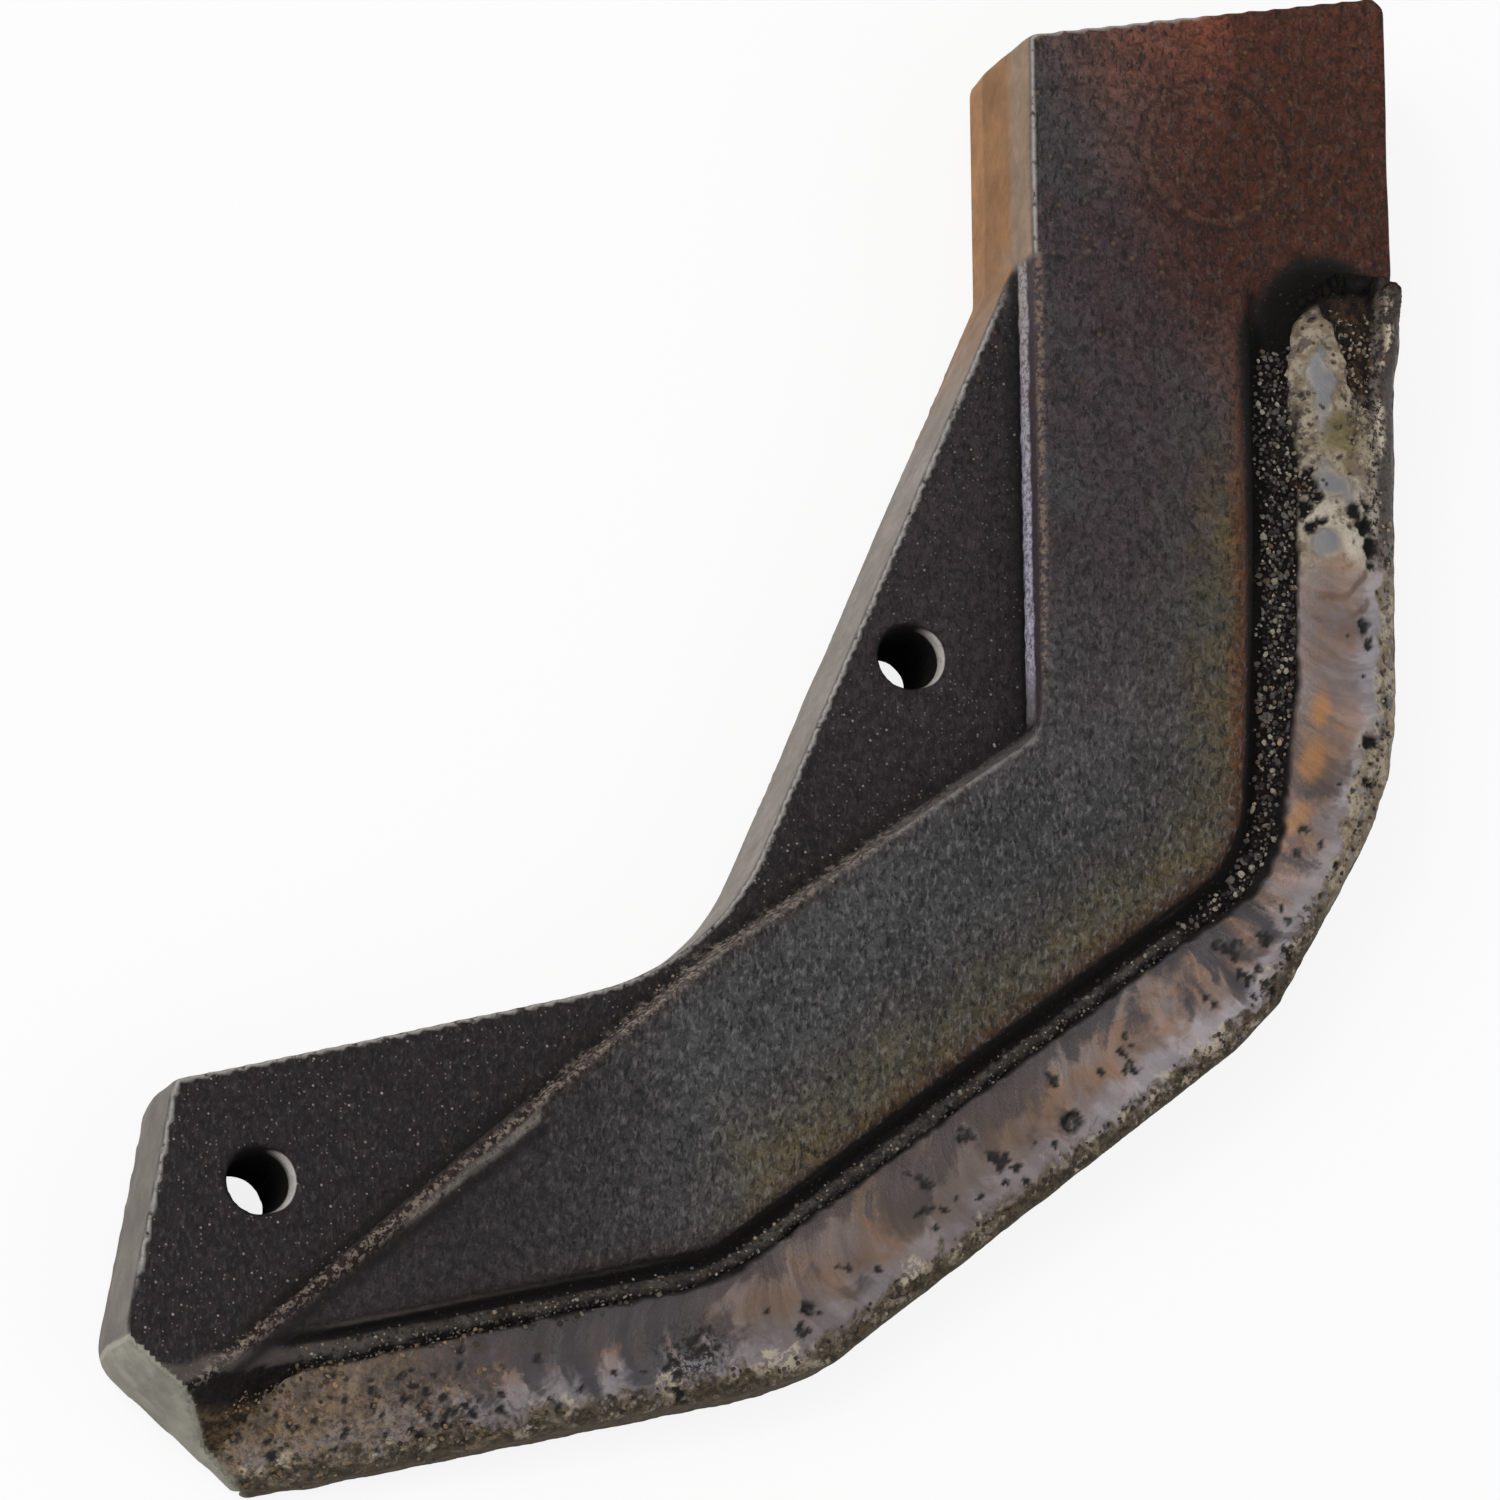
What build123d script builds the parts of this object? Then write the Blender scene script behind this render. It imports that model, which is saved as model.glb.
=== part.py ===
from build123d import *
import os
from math import cos, radians, sin, tan

# Sowing coulter: a one-piece forged nose, bolted beside the disc of a seed drill,
# with hardfacing welded along its leading edge. It lies on its flat back.
# +Z is the thickness, +Y runs up the shank, and the origin is the axis of the
# upper bolt hole on the back face. All lengths are in millimetres.

# Thickness, measured up from the flat back, and the draft either side of the parting line
shank_thickness = 25.0
pad_thickness = 17.0
parting_height = 7.0
forging_draft = 3.0

# Outline at the parting line, seen from the front
shank_rear_x = 14.95
shank_front_x = 69.75
shank_rear_top_y = 90.2
shank_top_slope = 11.9
shank_corner_cut = 2.5
shank_corner_radius = 1.2
pad_top_y = 57.2
inner_bend = (-28.95, -45.45)
inner_bend_radius = 38.0
arm_end_top = (-103.0, -66.3)
arm_end_bottom = (-109.5, -102.0)
arm_end_radius = 6.0
toe_tip = (-90.2, -118.4)
toe_tip_radius = 1.5
lower_bend = (-12.7, -98.5)
lower_bend_radius = 24.0
middle_bend = (51.1, -46.6)
middle_bend_radius = 18.0
upper_bend_y = -12.5
upper_bend_radius = 45.0

# Bolt holes through the two pads
bolt_hole_diameter = 8.8
bolt_hole_spacing = 120.8
bolt_hole_angle = 221.2
bolt_hole_chamfer = 0.6

# Walls that rise from the pads to the body: the step beside the shank, then the ridge to the toe
step_wall_x = 15.8
step_wall_foot_y = -9.9
step_wall_radius = 3.0
ridge_bend = (-30.0, -44.5)
ridge_toe = (-100.3, -107.8)
ridge_draft = 14.0

# Blade face: the front falls away from a crease that starts at the foot of the step wall
blade_slope = 15.0
blade_crease_angle = 28.7
blade_blend_radius = 140.0

# Raised rib beside the lower end of the ridge
rib_top = (-53.7, -69.2)
rib_width = 2.9
rib_height = 1.2

# Rebate along the leading edge, which carries the hardfacing, and the line of its inner wall
rebate_top_y = 58.5
rebate_wall_x = 48.0
rebate_upper_bend_y = -25.5
rebate_upper_bend_radius = 14.0
rebate_lower_bend = (-27.0, -84.4)
rebate_lower_bend_radius = 20.0
rebate_end = (-112.0, -107.0)
rebate_depth = 2.0
rebate_wall_draft = 30.0
rebate_run_out = 5.0
edge_height_top = 19.0
edge_height_toe = 2.5

# The last of the rebate, which opens as a hollow in the end of the toe
toe_hollow_run = 10.0
toe_hollow_width = 7.5
toe_hollow_inner = 4.2
toe_hollow_edge = 1.4

# Hardfacing bead, and the bare ledge of the rebate beside it
ledge_width_top = 6.3
ledge_width_low = 3.0
ledge_taper_start = 60.0
ledge_taper_end = 110.0
bead_top_taper = 5.5
bead_toe_width = 10.5
bead_toe_size = 0.4
bead_top_size = 0.25
bead_crown = 3.6
bead_overhang = 1.1
bead_rim = 1.0
bead_back_gap = 0.6
bead_toe_gap = 0.5
bead_spacing = 9.0
line_spacing = 0.5


def unit(angle):
    return Vector(cos(radians(angle)), sin(radians(angle)))


def outline():
    """Outline of the body at the parting line."""
    rise = tan(radians(shank_top_slope))
    cut_x = shank_front_x - shank_corner_cut
    front_top_y = shank_rear_top_y + (shank_front_x - shank_rear_x) * rise
    corners = [
        ((shank_rear_x, pad_top_y), shank_corner_radius),
        (inner_bend, inner_bend_radius),
        (arm_end_top, shank_corner_radius),
        (arm_end_bottom, arm_end_radius),
        (toe_tip, toe_tip_radius),
        (lower_bend, lower_bend_radius),
        (middle_bend, middle_bend_radius),
        ((shank_front_x, upper_bend_y), upper_bend_radius),
        ((shank_front_x, front_top_y - shank_corner_cut), shank_corner_radius),
        ((cut_x, front_top_y - shank_corner_cut * rise), shank_corner_radius),
        ((shank_rear_x, shank_rear_top_y), shank_corner_radius),
    ]
    points = [point for point, radius in corners]
    radii = [radius for point, radius in corners]
    return make_face(FilletPolyline(*points, radius=radii, close=True).edges())


def forged_blank():
    """The full outline, drafted both ways from the parting line."""
    face = Plane.XY.offset(parting_height) * outline()
    front_height = shank_thickness - parting_height
    back_half = extrude(face, amount=parting_height, dir=(0, 0, -1), taper=forging_draft)
    front_half = extrude(face, amount=front_height, dir=(0, 0, 1), taper=forging_draft)
    return back_half + front_half


def meet(point, angle, other_point, other_angle):
    """Where two lines cross, each given by a point and an angle."""
    along = unit(angle)
    other = unit(other_angle)
    gap = Vector(*other_point) - Vector(*point)
    distance = (gap.X * other.Y - gap.Y * other.X) / (along.X * other.Y - along.Y * other.X)
    return Vector(*point) + along * distance


def direction(start, end):
    return (Vector(*end) - Vector(*start)).get_signed_angle(Vector(1, 0), Vector(0, 0, -1))


def pad_section(height):
    """Plan of the space over both pads, at a height above them."""
    step_shift = height * tan(radians(forging_draft))
    ridge_shift = height * tan(radians(ridge_draft))
    foot = (step_wall_x, step_wall_foot_y)
    upper_angle = direction(foot, ridge_bend)
    lower_angle = direction(ridge_bend, ridge_toe)
    step_point = Vector(*foot) + Vector(step_shift, 0)
    upper_point = Vector(*foot) + unit(upper_angle + 90) * ridge_shift
    lower_point = Vector(*ridge_bend) + unit(lower_angle + 90) * ridge_shift
    foot_corner = meet(step_point, 90, upper_point, upper_angle)
    bend_corner = meet(upper_point, upper_angle, lower_point, lower_angle)
    far_x = arm_end_bottom[0] - shank_thickness
    toe_corner = meet(lower_point, lower_angle, (far_x, 0), 90)
    corners = [(step_point.X, pad_top_y), foot_corner, bend_corner, toe_corner, (far_x, pad_top_y)]
    return Plane.XY.offset(pad_thickness + height) * make_face(Polyline(*corners, close=True).edges())


def pad_space():
    """The space over both pads, with a drafted step wall and a flatter ridge wall."""
    space = loft([pad_section(0), pad_section(shank_thickness)], ruled=True)
    corner = space.edges().sort_by_distance((step_wall_x, step_wall_foot_y, shank_thickness))[0]
    return fillet(corner, step_wall_radius)


def blade_space(lift=0.0):
    """The space in front of the blade face, which blends out of the shank's front."""
    tangent = blade_blend_radius * tan(radians(blade_slope / 2))
    reach = 4 * shank_front_x
    blend_end = unit(-blade_slope) * tangent
    far_end = unit(-blade_slope) * reach
    profile = Polyline(blend_end, far_end, (far_end.X, reach / 4), (-tangent, reach / 4), (-tangent, 0))
    profile += TangentArc((-tangent, 0), blend_end, tangent=(1, 0))
    crease = Vector(step_wall_x, step_wall_foot_y, shank_thickness + lift)
    downhill = unit(blade_crease_angle - 90)
    plane = Plane(origin=crease, x_dir=downhill, z_dir=unit(blade_crease_angle + 180))
    return extrude(plane * make_face(profile.edges()), amount=reach, both=True)


def face_height(point):
    """Height of the blade face over a point of the plan."""
    offset = Vector(point.X, point.Y) - Vector(step_wall_x, step_wall_foot_y)
    downhill = offset.dot(unit(blade_crease_angle - 90))
    tangent = blade_blend_radius * tan(radians(blade_slope / 2))
    if downhill <= -tangent:
        return shank_thickness
    if downhill >= tangent * cos(radians(blade_slope)):
        return shank_thickness - downhill * tan(radians(blade_slope))
    run = downhill + tangent
    return shank_thickness - blade_blend_radius + (blade_blend_radius**2 - run**2) ** 0.5


def toe_rib():
    """Low rib that runs beside the ridge and dies out at the toe."""
    side = unit(direction(ridge_bend, ridge_toe) + 90)
    shape = Polyline(ridge_toe, rib_top, Vector(*rib_top) - side * rib_width, close=True)
    rib = extrude(make_face(shape.edges()), amount=shank_thickness, dir=(0, 0, 1))
    return rib - blade_space(rib_height)


def leading_edge():
    """The leading edge in plan, from the top of the rebate to where the toe's hollow starts."""
    back_along = (Vector(*lower_bend) - Vector(*toe_tip)).normalized()
    return FilletPolyline(
        (shank_front_x, rebate_top_y),
        (shank_front_x, upper_bend_y),
        middle_bend,
        lower_bend,
        Vector(*toe_tip) + back_along * toe_hollow_run,
        radius=[upper_bend_radius, middle_bend_radius, lower_bend_radius],
    )


def rebate_line():
    """The foot of the rebate's inner wall in plan."""
    line = FilletPolyline(
        (rebate_wall_x, rebate_top_y + bead_spacing),
        (rebate_wall_x, rebate_upper_bend_y),
        rebate_lower_bend,
        rebate_end,
        radius=[rebate_upper_bend_radius, rebate_lower_bend_radius],
    )
    count = round(line.length / line_spacing)
    return [line.position_at(step / count) for step in range(count + 1)]


class Station:
    """A cut across the leading edge: X runs inward from the edge and Y is the height."""

    def __init__(self, point, inward, width, inner, edge, bead_width, bead_size):
        self.plane = Plane(origin=point, x_dir=inward, z_dir=(inward.Y, -inward.X))
        self.width = width
        self.inner = inner
        self.edge = edge
        self.bead_width = bead_width
        self.bead_size = bead_size

    def floor(self, inward):
        return self.edge + (self.inner - self.edge) * inward / self.width


def edge_station(edge, wall_points, distance):
    """The cut square to the leading edge, at a distance along it."""
    share = distance / edge.length
    point = edge.position_at(share)
    tangent = edge.tangent_at(share)
    inward = Vector(tangent.Y, -tangent.X)
    opposite = min(wall_points, key=lambda wall: abs((wall - point).dot(tangent)))
    width = (opposite - point).dot(inward)
    growth = min(distance / rebate_run_out, 1.0)
    face = face_height(point + inward * width)
    edge_height = edge_height_top + (edge_height_toe - edge_height_top) * share
    taper = (distance - ledge_taper_start) / (ledge_taper_end - ledge_taper_start)
    ledge_width = ledge_width_top + (ledge_width_low - ledge_width_top) * min(max(taper, 0.0), 1.0)
    return Station(
        point,
        inward,
        width,
        inner=face - rebate_depth * growth,
        edge=face + (edge_height - face) * growth,
        bead_width=width - ledge_width - bead_top_taper * (1 - growth),
        bead_size=bead_top_size + (1 - bead_top_size) * growth,
    )


def toe_station(inset):
    """The cut along the end of the toe, set in from it."""
    inward = (Vector(*arm_end_bottom) - Vector(*toe_tip)).normalized()
    point = Vector(*toe_tip) + Vector(-inward.Y, inward.X) * -inset
    return Station(
        point,
        inward,
        toe_hollow_width,
        toe_hollow_inner,
        toe_hollow_edge,
        bead_toe_width,
        bead_toe_size,
    )


def stations():
    """Cuts across the rebate and the bead, evenly spaced after the run-out at the top."""
    edge = leading_edge()
    wall_points = rebate_line()
    count = round((edge.length - rebate_run_out) / bead_spacing)
    step = (edge.length - rebate_run_out) / count
    distances = [0] + [rebate_run_out + step * index for index in range(count + 1)]
    return [edge_station(edge, wall_points, distance) for distance in distances]


def rebate_space(cuts):
    """The space of the rebate, in front of its floor."""
    sections = []
    for cut in cuts:
        outside = -3 * bead_overhang
        top = shank_thickness + bead_crown
        wall_lean = (top - cut.inner) * tan(radians(rebate_wall_draft))
        corners = [
            (cut.width, cut.inner),
            (cut.width + wall_lean, top),
            (outside, top),
            (outside, cut.floor(outside)),
        ]
        sections.append(cut.plane * make_face(Polyline(*corners, close=True).edges()))
    return loft(sections, ruled=True)


def bead_section(cut):
    """Section of the bead: crown, rim, outer wrap, and a root inside the body."""
    width = cut.bead_width
    inner = (width, cut.floor(width))
    crown = (width / 2, cut.floor(width / 2) + bead_crown * cut.bead_size)
    rim = (-bead_overhang, cut.edge + bead_rim * cut.bead_size)
    wrap = (-bead_overhang, bead_back_gap)
    root = (2 * bead_overhang, bead_back_gap)
    depth = (width - 2 * bead_overhang, cut.floor(width) - bead_crown * cut.bead_size)
    shape = ThreePointArc(inner, crown, rim) + Polyline(rim, wrap, root, depth, inner)
    return cut.plane * make_face(shape.edges())


def hardfacing(cuts, body):
    """The bead along the edge, ending just inside the end of the toe."""
    sections = [bead_section(cut) for cut in cuts + [toe_station(bead_toe_gap)]]
    return loft(sections, ruled=True) - body


def bolt_holes():
    """Both bolt holes, with the light chamfer on their front rims."""
    radius = bolt_hole_diameter / 2
    rim = radius + bolt_hole_chamfer
    bore = Cylinder(radius, pad_thickness, align=(Align.CENTER, Align.CENTER, Align.MIN))
    mouth = Cone(radius, rim, bolt_hole_chamfer, align=(Align.CENTER, Align.CENTER, Align.MAX))
    tool = bore + Pos(0, 0, pad_thickness) * mouth
    return [tool, Pos(*(unit(bolt_hole_angle) * bolt_hole_spacing)) * tool]


def coulter_body(cuts):
    body = forged_blank() - pad_space()
    body -= blade_space()
    body += toe_rib()
    body -= rebate_space(cuts + [toe_station(-bead_overhang)])
    for hole in bolt_holes():
        body -= hole
    return body


cuts = stations()
body = coulter_body(cuts)
weld = hardfacing(cuts, body)

os.makedirs("parts", exist_ok=True)
export_step(body, "parts/coulter_body.step")
export_step(weld, "parts/hardfacing_weld.step")
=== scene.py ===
from math import cos, radians, sin, tan

import bpy
import numpy as np
from mathutils import Matrix, Vector, noise


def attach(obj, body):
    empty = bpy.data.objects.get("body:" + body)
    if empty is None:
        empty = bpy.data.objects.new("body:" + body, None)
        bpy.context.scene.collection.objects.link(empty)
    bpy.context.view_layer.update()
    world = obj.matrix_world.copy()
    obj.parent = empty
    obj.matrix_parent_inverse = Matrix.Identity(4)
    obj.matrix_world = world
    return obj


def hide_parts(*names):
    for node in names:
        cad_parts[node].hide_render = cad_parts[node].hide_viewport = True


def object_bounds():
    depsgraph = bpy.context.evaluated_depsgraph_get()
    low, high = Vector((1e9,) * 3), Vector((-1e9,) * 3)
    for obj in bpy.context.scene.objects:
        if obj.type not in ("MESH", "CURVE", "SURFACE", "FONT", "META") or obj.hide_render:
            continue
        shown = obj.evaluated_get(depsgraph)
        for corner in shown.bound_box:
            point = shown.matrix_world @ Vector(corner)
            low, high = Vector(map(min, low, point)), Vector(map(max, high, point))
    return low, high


bl_info = {
    "name": "Sowing Coulter Finish",
    "version": (1, 0, 0),
    "blender": (4, 5, 0),
    "location": "3D View > Sidebar > Coulter",
    "description": "Finishes a forged sowing coulter and the hardfacing along its leading edge",
    "category": "Object",
}

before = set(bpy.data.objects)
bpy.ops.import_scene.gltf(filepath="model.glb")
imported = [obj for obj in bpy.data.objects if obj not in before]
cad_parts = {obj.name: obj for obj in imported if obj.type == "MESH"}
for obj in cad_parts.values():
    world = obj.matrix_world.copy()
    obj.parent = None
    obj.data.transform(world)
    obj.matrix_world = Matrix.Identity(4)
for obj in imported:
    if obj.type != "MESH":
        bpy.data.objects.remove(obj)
cad_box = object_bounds()

MM = 0.001

# The leading edge in plan, in millimetres, from above the weld to past the toe: corners and radii.
# Run is measured along it from the top of the weld, and inward across it to the body's inside.
EDGE_CORNERS = (
    ((69.75, 125.0), 0.0),
    ((69.75, -12.5), 45.0),
    ((51.1, -46.6), 18.0),
    ((-12.7, -98.5), 24.0),
    ((-128.9, -128.35), 0.0),
)
WELD_TOP_Y = 58.5

# The groove that bounds the weld's ledge, from above the weld to past the toe
GROOVE_CORNERS = (
    ((48.0, 125.0), 0.0),
    ((48.0, -25.5), 14.0),
    ((-27.0, -84.4), 20.0),
    ((-130.0, -111.8), 0.0),
)
# Width of the ledge between the groove and the bead, along the run
LEDGE_RUNS = (60.0, 110.0)
LEDGE_WIDTHS = (6.3, 3.0)

# The foot of the walls that rise from the pads to the body, in plan, and the rib beside them
WALL_FOOT = ((15.8, 130.0), (15.8, -9.9), (-30.0, -44.5), (-100.3, -107.8))
RIDGE_LEAN = tan(radians(14.0))
PAD_HEIGHT = 17.0
RIB_LINE = ((-53.7, -69.2), (-98.0, -106.6))
TOE_CORNER = (-109.5, -102.0)
TOE_TIP = (-90.2, -118.4)
BOLT_HOLES = ((0.0, 0.0), (-90.892, -79.57))

# The middle of the plain ring, and of the scorch above the weld
RING_CENTRE = (42.4, 74.1)
SCORCH_CENTRE = (54.0, 64.0)

# Places on the bead by run and distance inward: the bright spot in one pore, then pores with
# their radius, and clusters of small pores with their reach and number
LIT_PORE = (141.8, 4.6)
SINGLE_PORES = (
    (30.4, 13.8, 1.5),
    (33.8, 14.4, 1.4),
    (32.2, 12.2, 1.0),
    (36.6, 12.9, 0.9),
    (28.6, 13.2, 0.7),
    (35.6, 11.6, 0.7),
    (33.8, 6.6, 1.0),
    (35.6, 4.9, 1.4),
    (32.6, 4.6, 0.8),
    (38.6, 3.8, 1.3),
    (41.2, 4.0, 0.8),
    (50.0, 5.1, 1.0),
    (52.2, 4.2, 0.7),
    (66.4, 3.5, 1.1),
    (141.8, 4.9, 1.45),
    (188.7, 6.7, 1.2),
)
PORE_CLUSTERS = (
    (104.9, 9.6, 2.0, 12),
    (101.4, 5.1, 1.3, 6),
    (107.3, 5.0, 1.7, 10),
    (105.9, 2.0, 1.5, 8),
    (100.4, 2.1, 1.0, 4),
    (129.8, 9.0, 1.4, 5),
    (130.3, 5.9, 1.3, 5),
    (140.8, 11.2, 1.2, 6),
    (154.8, 12.4, 1.4, 7),
    (153.3, 6.3, 1.6, 10),
    (164.3, 11.2, 1.6, 6),
    (166.5, 7.6, 1.6, 4),
    (180.3, 8.5, 1.2, 4),
    (176.3, 5.2, 0.8, 3),
    (192.0, 4.0, 1.2, 4),
    (210.6, 2.5, 2.4, 8),
    (207.0, 5.5, 2.6, 7),
)

# The olive patch in the crust, then straw-coloured spots and the crust's net: height, place and size
MOSS_CENTRE = (23.0, 8.2)
HOT_SPOTS = (
    (1.1, (63.0, 11.4), (4.2, 1.6)),
    (1.2, (73.0, 11.2), (4.6, 1.9)),
    (1.1, (83.0, 9.6), (3.0, 1.8)),
)
NET_PATCHES = (
    (1.0, (33.0, 13.0), (5.5, 2.6)),
    (1.0, (36.0, 6.0), (4.5, 3.2)),
    (1.0, (35.0, 10.5), (2.2, 4.0)),
)

# Half width of the painted shadow along the groove's channel, and reach of the crust from the rim, along
# the run
CHANNEL_RUNS = (0.0, 20.0, 60.0, 100.0, 130.0, 196.0, 262.0)
CHANNEL_WIDTHS = (3.2, 2.5, 1.6, 1.5, 1.6, 1.4, 0.7)
RIM_RUNS = (0.0, 50.0, 62.0, 68.0, 76.0, 86.0, 94.0)
RIM_REACHES = (3.0, 2.5, 2.6, 5.0, 4.4, 2.2, 1.0)

# The stage: white, and what the lamps and the camera point at, in millimetres
WHITE = (1.0, 1.0, 1.0)
LAMP_TARGET = (-18.0, -10.0, 10.0)
CAMERA_TARGET = (-17.8, -9.9, 0.0)


def srgb(red, green, blue):
    """Linear colour of an 8-bit tone."""
    shares = (np.array([red, green, blue]) / 255.0).tolist()
    linear = [c / 12.92 if c <= 0.04045 else ((c + 0.055) / 1.055) ** 2.4 for c in shares]
    return (linear[0], linear[1], linear[2])


def colour_property(name, description, tone):
    return bpy.props.FloatVectorProperty(
        name=name, description=description, subtype="COLOR", size=3, min=0.0, max=1.0, default=srgb(*tone)
    )


def length_property(name, description, default):
    return bpy.props.FloatProperty(
        name=name,
        description=description,
        subtype="DISTANCE",
        unit="LENGTH",
        min=0.0,
        default=default,
        precision=5,
    )


def count_property(name, description, default):
    return bpy.props.IntProperty(name=name, description=description, default=default, min=0)


class CoulterBodySettings(bpy.types.PropertyGroup):
    """Sizes and tones of the forged body."""

    mesh_size: length_property("Mesh size", "Spacing of the body's finished mesh", 0.735 * MM)
    softening: count_property("Softening", "Smoothing passes that round the forged edges", 4)
    wave_height: length_property("Wave height", "Unevenness of the forged faces", 0.14 * MM)
    grain_height: length_property("Grain height", "Height of the scale's grain", 0.16 * MM)
    slag_height: length_property("Slag height", "Roughness of the slag beside the weld", 0.7 * MM)
    groove_depth: length_property("Groove depth", "Depth of the groove beside the weld's ledge", 0.7 * MM)
    ring_radius: length_property("Ring radius", "Radius of the plain ring on the shank", 9.8 * MM)
    ring_height: length_property("Ring height", "Height of the plain ring on the shank", 0.5 * MM)
    scale_dark: colour_property("Pad scale", "Dark scale on the pads", (32, 27, 29))
    scale_grey: colour_property("Blade scale", "Grey scale on the blade face", (62, 61, 62))
    scale_shank: colour_property("Shank scale", "Purple-grey scale on the shank's front", (58, 48, 52))
    rust: colour_property("Rust", "Brown at the top of the shank", (116, 62, 40))
    straw: colour_property("Heat tint", "Olive tint beside the weld", (88, 76, 44))
    # Soot, and painted shade: painted shadow in the groove and beside the rib, and painted shade in
    # creases, in the crevice beside the bead and inside the bolt holes
    soot_and_shade: colour_property("Soot", "Scorched scale next to the weld", (13, 10, 9))
    ledge_grey: colour_property("Ledge", "Grey ledge between the groove and the bead", (88, 83, 77))
    wall_tan: colour_property("Shank wall", "Tan side wall of the shank", (168, 122, 78))
    wall_grey: colour_property("Rear wall", "Light rear edge of the pads", (148, 139, 131))
    toe_pale: colour_property("Toe end", "Pale end of the toe", (142, 139, 126))
    # Bare metal painted as highlight on the rear edges and on the bolt holes' chamfers
    bare_edge_glint: colour_property("Bare edge", "Bare metal on the sharp edges", (188, 182, 176))


class CoulterWeldSettings(bpy.types.PropertyGroup):
    """Sizes and tones of the hardfacing."""

    mesh_size: length_property("Mesh size", "Spacing of the weld's finished mesh", 0.445 * MM)
    ripple_spacing: length_property(
        "Ripple spacing", "Distance between the ripples of the bead", 4.2 * MM
    )
    ripple_height: length_property("Ripple height", "Height of the ripples", 0.08 * MM)
    lump_height: length_property("Lump height", "Slow swell along the bead", 0.4 * MM)
    crust_height: length_property("Crust height", "Roughness of the crust along the rim", 0.42 * MM)
    softening: count_property("Softening", "Smoothing passes that round the bead's edges", 6)
    pit_count: count_property("Pits", "Number of small pores scattered on the bead", 46)
    lilac: colour_property("Lilac", "Cool tone beside the bead's rim", (146, 138, 141))
    bead_tan: colour_property("Tan", "Warm tone along the middle of the bead", (134, 108, 90))
    bead_straw: colour_property("Straw", "Orange heat tint of the bead", (166, 116, 70))
    bead_dark: colour_property("Inner side", "Dark blue-grey inner side of the bead", (60, 58, 64))
    bead_brown: colour_property("Brown", "Dull patches towards the toe", (84, 70, 60))
    crust: colour_property("Crust", "Pale crust on the top of the weld and the rim", (208, 193, 170))
    puddle: colour_property("Puddle", "Smooth blue-grey puddles in the crust", (118, 120, 125))
    moss: colour_property("Olive", "Olive patch in the crust", (140, 128, 84))
    rim_olive: colour_property("Rim", "Olive band below the rim", (92, 80, 60))
    # Slag, and painted shade in creases, along the bead's inner edge and in the toe's pocket
    soot_and_shade: colour_property("Soot", "Black slag in the pores and beside the bead", (17, 13, 11))


class CoulterCrumbSettings(bpy.types.PropertyGroup):
    """Crumbs of slag and scale."""

    slag_count: count_property("Slag crumbs", "Crumbs between the groove and the bead", 2900)
    ridge_count: count_property("Ridge crumbs", "Crumbs along the ridge and its rib", 260)
    rim_count: count_property("Rim crumbs", "Crumbs on the weld's rim, crater and toe", 900)
    size: length_property("Crumb size", "Radius of a middling crumb", 0.40 * MM)
    black: colour_property("Black crumbs", "Darkest slag", (26, 22, 19))
    grey: colour_property("Grey crumbs", "Middling slag", (102, 95, 88))
    pale: colour_property("Pale crumbs", "Lightest slag", (158, 149, 134))


class CoulterStageSettings(bpy.types.PropertyGroup):
    """Camera and light."""

    distance: length_property("Camera distance", "From the camera to the middle of the view", 1.3)
    tilt: bpy.props.FloatProperty(
        name="Tilt",
        description="Camera tilt off the thickness axis",
        subtype="ANGLE",
        default=radians(24.0),
    )
    azimuth: bpy.props.FloatProperty(
        name="Azimuth", description="Side the camera leans to", subtype="ANGLE", default=radians(45.0)
    )
    roll: bpy.props.FloatProperty(
        name="Roll", description="Camera roll", subtype="ANGLE", default=radians(-0.5)
    )
    lens: bpy.props.FloatProperty(
        name="Lens", description="Focal length", subtype="DISTANCE_CAMERA", default=227.76
    )
    floor_size: length_property("Floor size", "Side of the square floor", 8.0)
    key_power: bpy.props.FloatProperty(
        name="Key light", description="Power of the key light", subtype="POWER", default=7.0
    )
    fill_power: bpy.props.FloatProperty(
        name="Fill light", description="Power of the fill light", subtype="POWER", default=2.0
    )
    room_light: bpy.props.FloatProperty(
        name="Room light", description="Strength of the light from all round", default=0.55
    )


# Measuring along the leading edge


def unit(vector):
    """The vector at length 1."""
    return vector / np.linalg.norm(vector)


def line_samples(line, spacing=0.5):
    """Points along a line with rounded corners, with the run and the inward direction of each."""
    corners = [np.array(corner) for corner, radius in line]
    points = []
    start = corners[0]
    for index in range(1, len(corners) - 1):
        radius = line[index][1]
        back = unit(corners[index - 1] - corners[index])
        ahead = unit(corners[index + 1] - corners[index])
        half = np.arccos(np.dot(back, ahead)) / 2
        arc_start = corners[index] + back * radius / tan(half)
        arc_end = corners[index] + ahead * radius / tan(half)
        centre = corners[index] + unit(back + ahead) * radius / sin(half)
        first = np.arctan2(*(arc_start - centre)[::-1])
        turn = (np.arctan2(*(arc_end - centre)[::-1]) - first + np.pi) % (2 * np.pi) - np.pi
        steps = int(np.linalg.norm(arc_start - start) / spacing) + 1
        points += [start + (arc_start - start) * step / steps for step in range(steps)]
        steps = int(abs(turn) * radius / spacing) + 1
        angles = [first + turn * step / steps for step in range(steps)]
        points += [centre + radius * np.array([cos(angle), sin(angle)]) for angle in angles]
        start = arc_end
    steps = int(np.linalg.norm(corners[-1] - start) / spacing) + 1
    points += [start + (corners[-1] - start) * step / steps for step in range(steps + 1)]
    points = np.array(points)
    lengths = np.linalg.norm(np.diff(points, axis=0), axis=1)
    run = np.concatenate([[0.0], np.cumsum(lengths)]) - (corners[0][1] - WELD_TOP_Y)
    tangent = np.gradient(points, axis=0)
    tangent /= np.linalg.norm(tangent, axis=1)[:, None]
    inward = np.stack([tangent[:, 1], -tangent[:, 0]], axis=1)
    return points, run, inward


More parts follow.
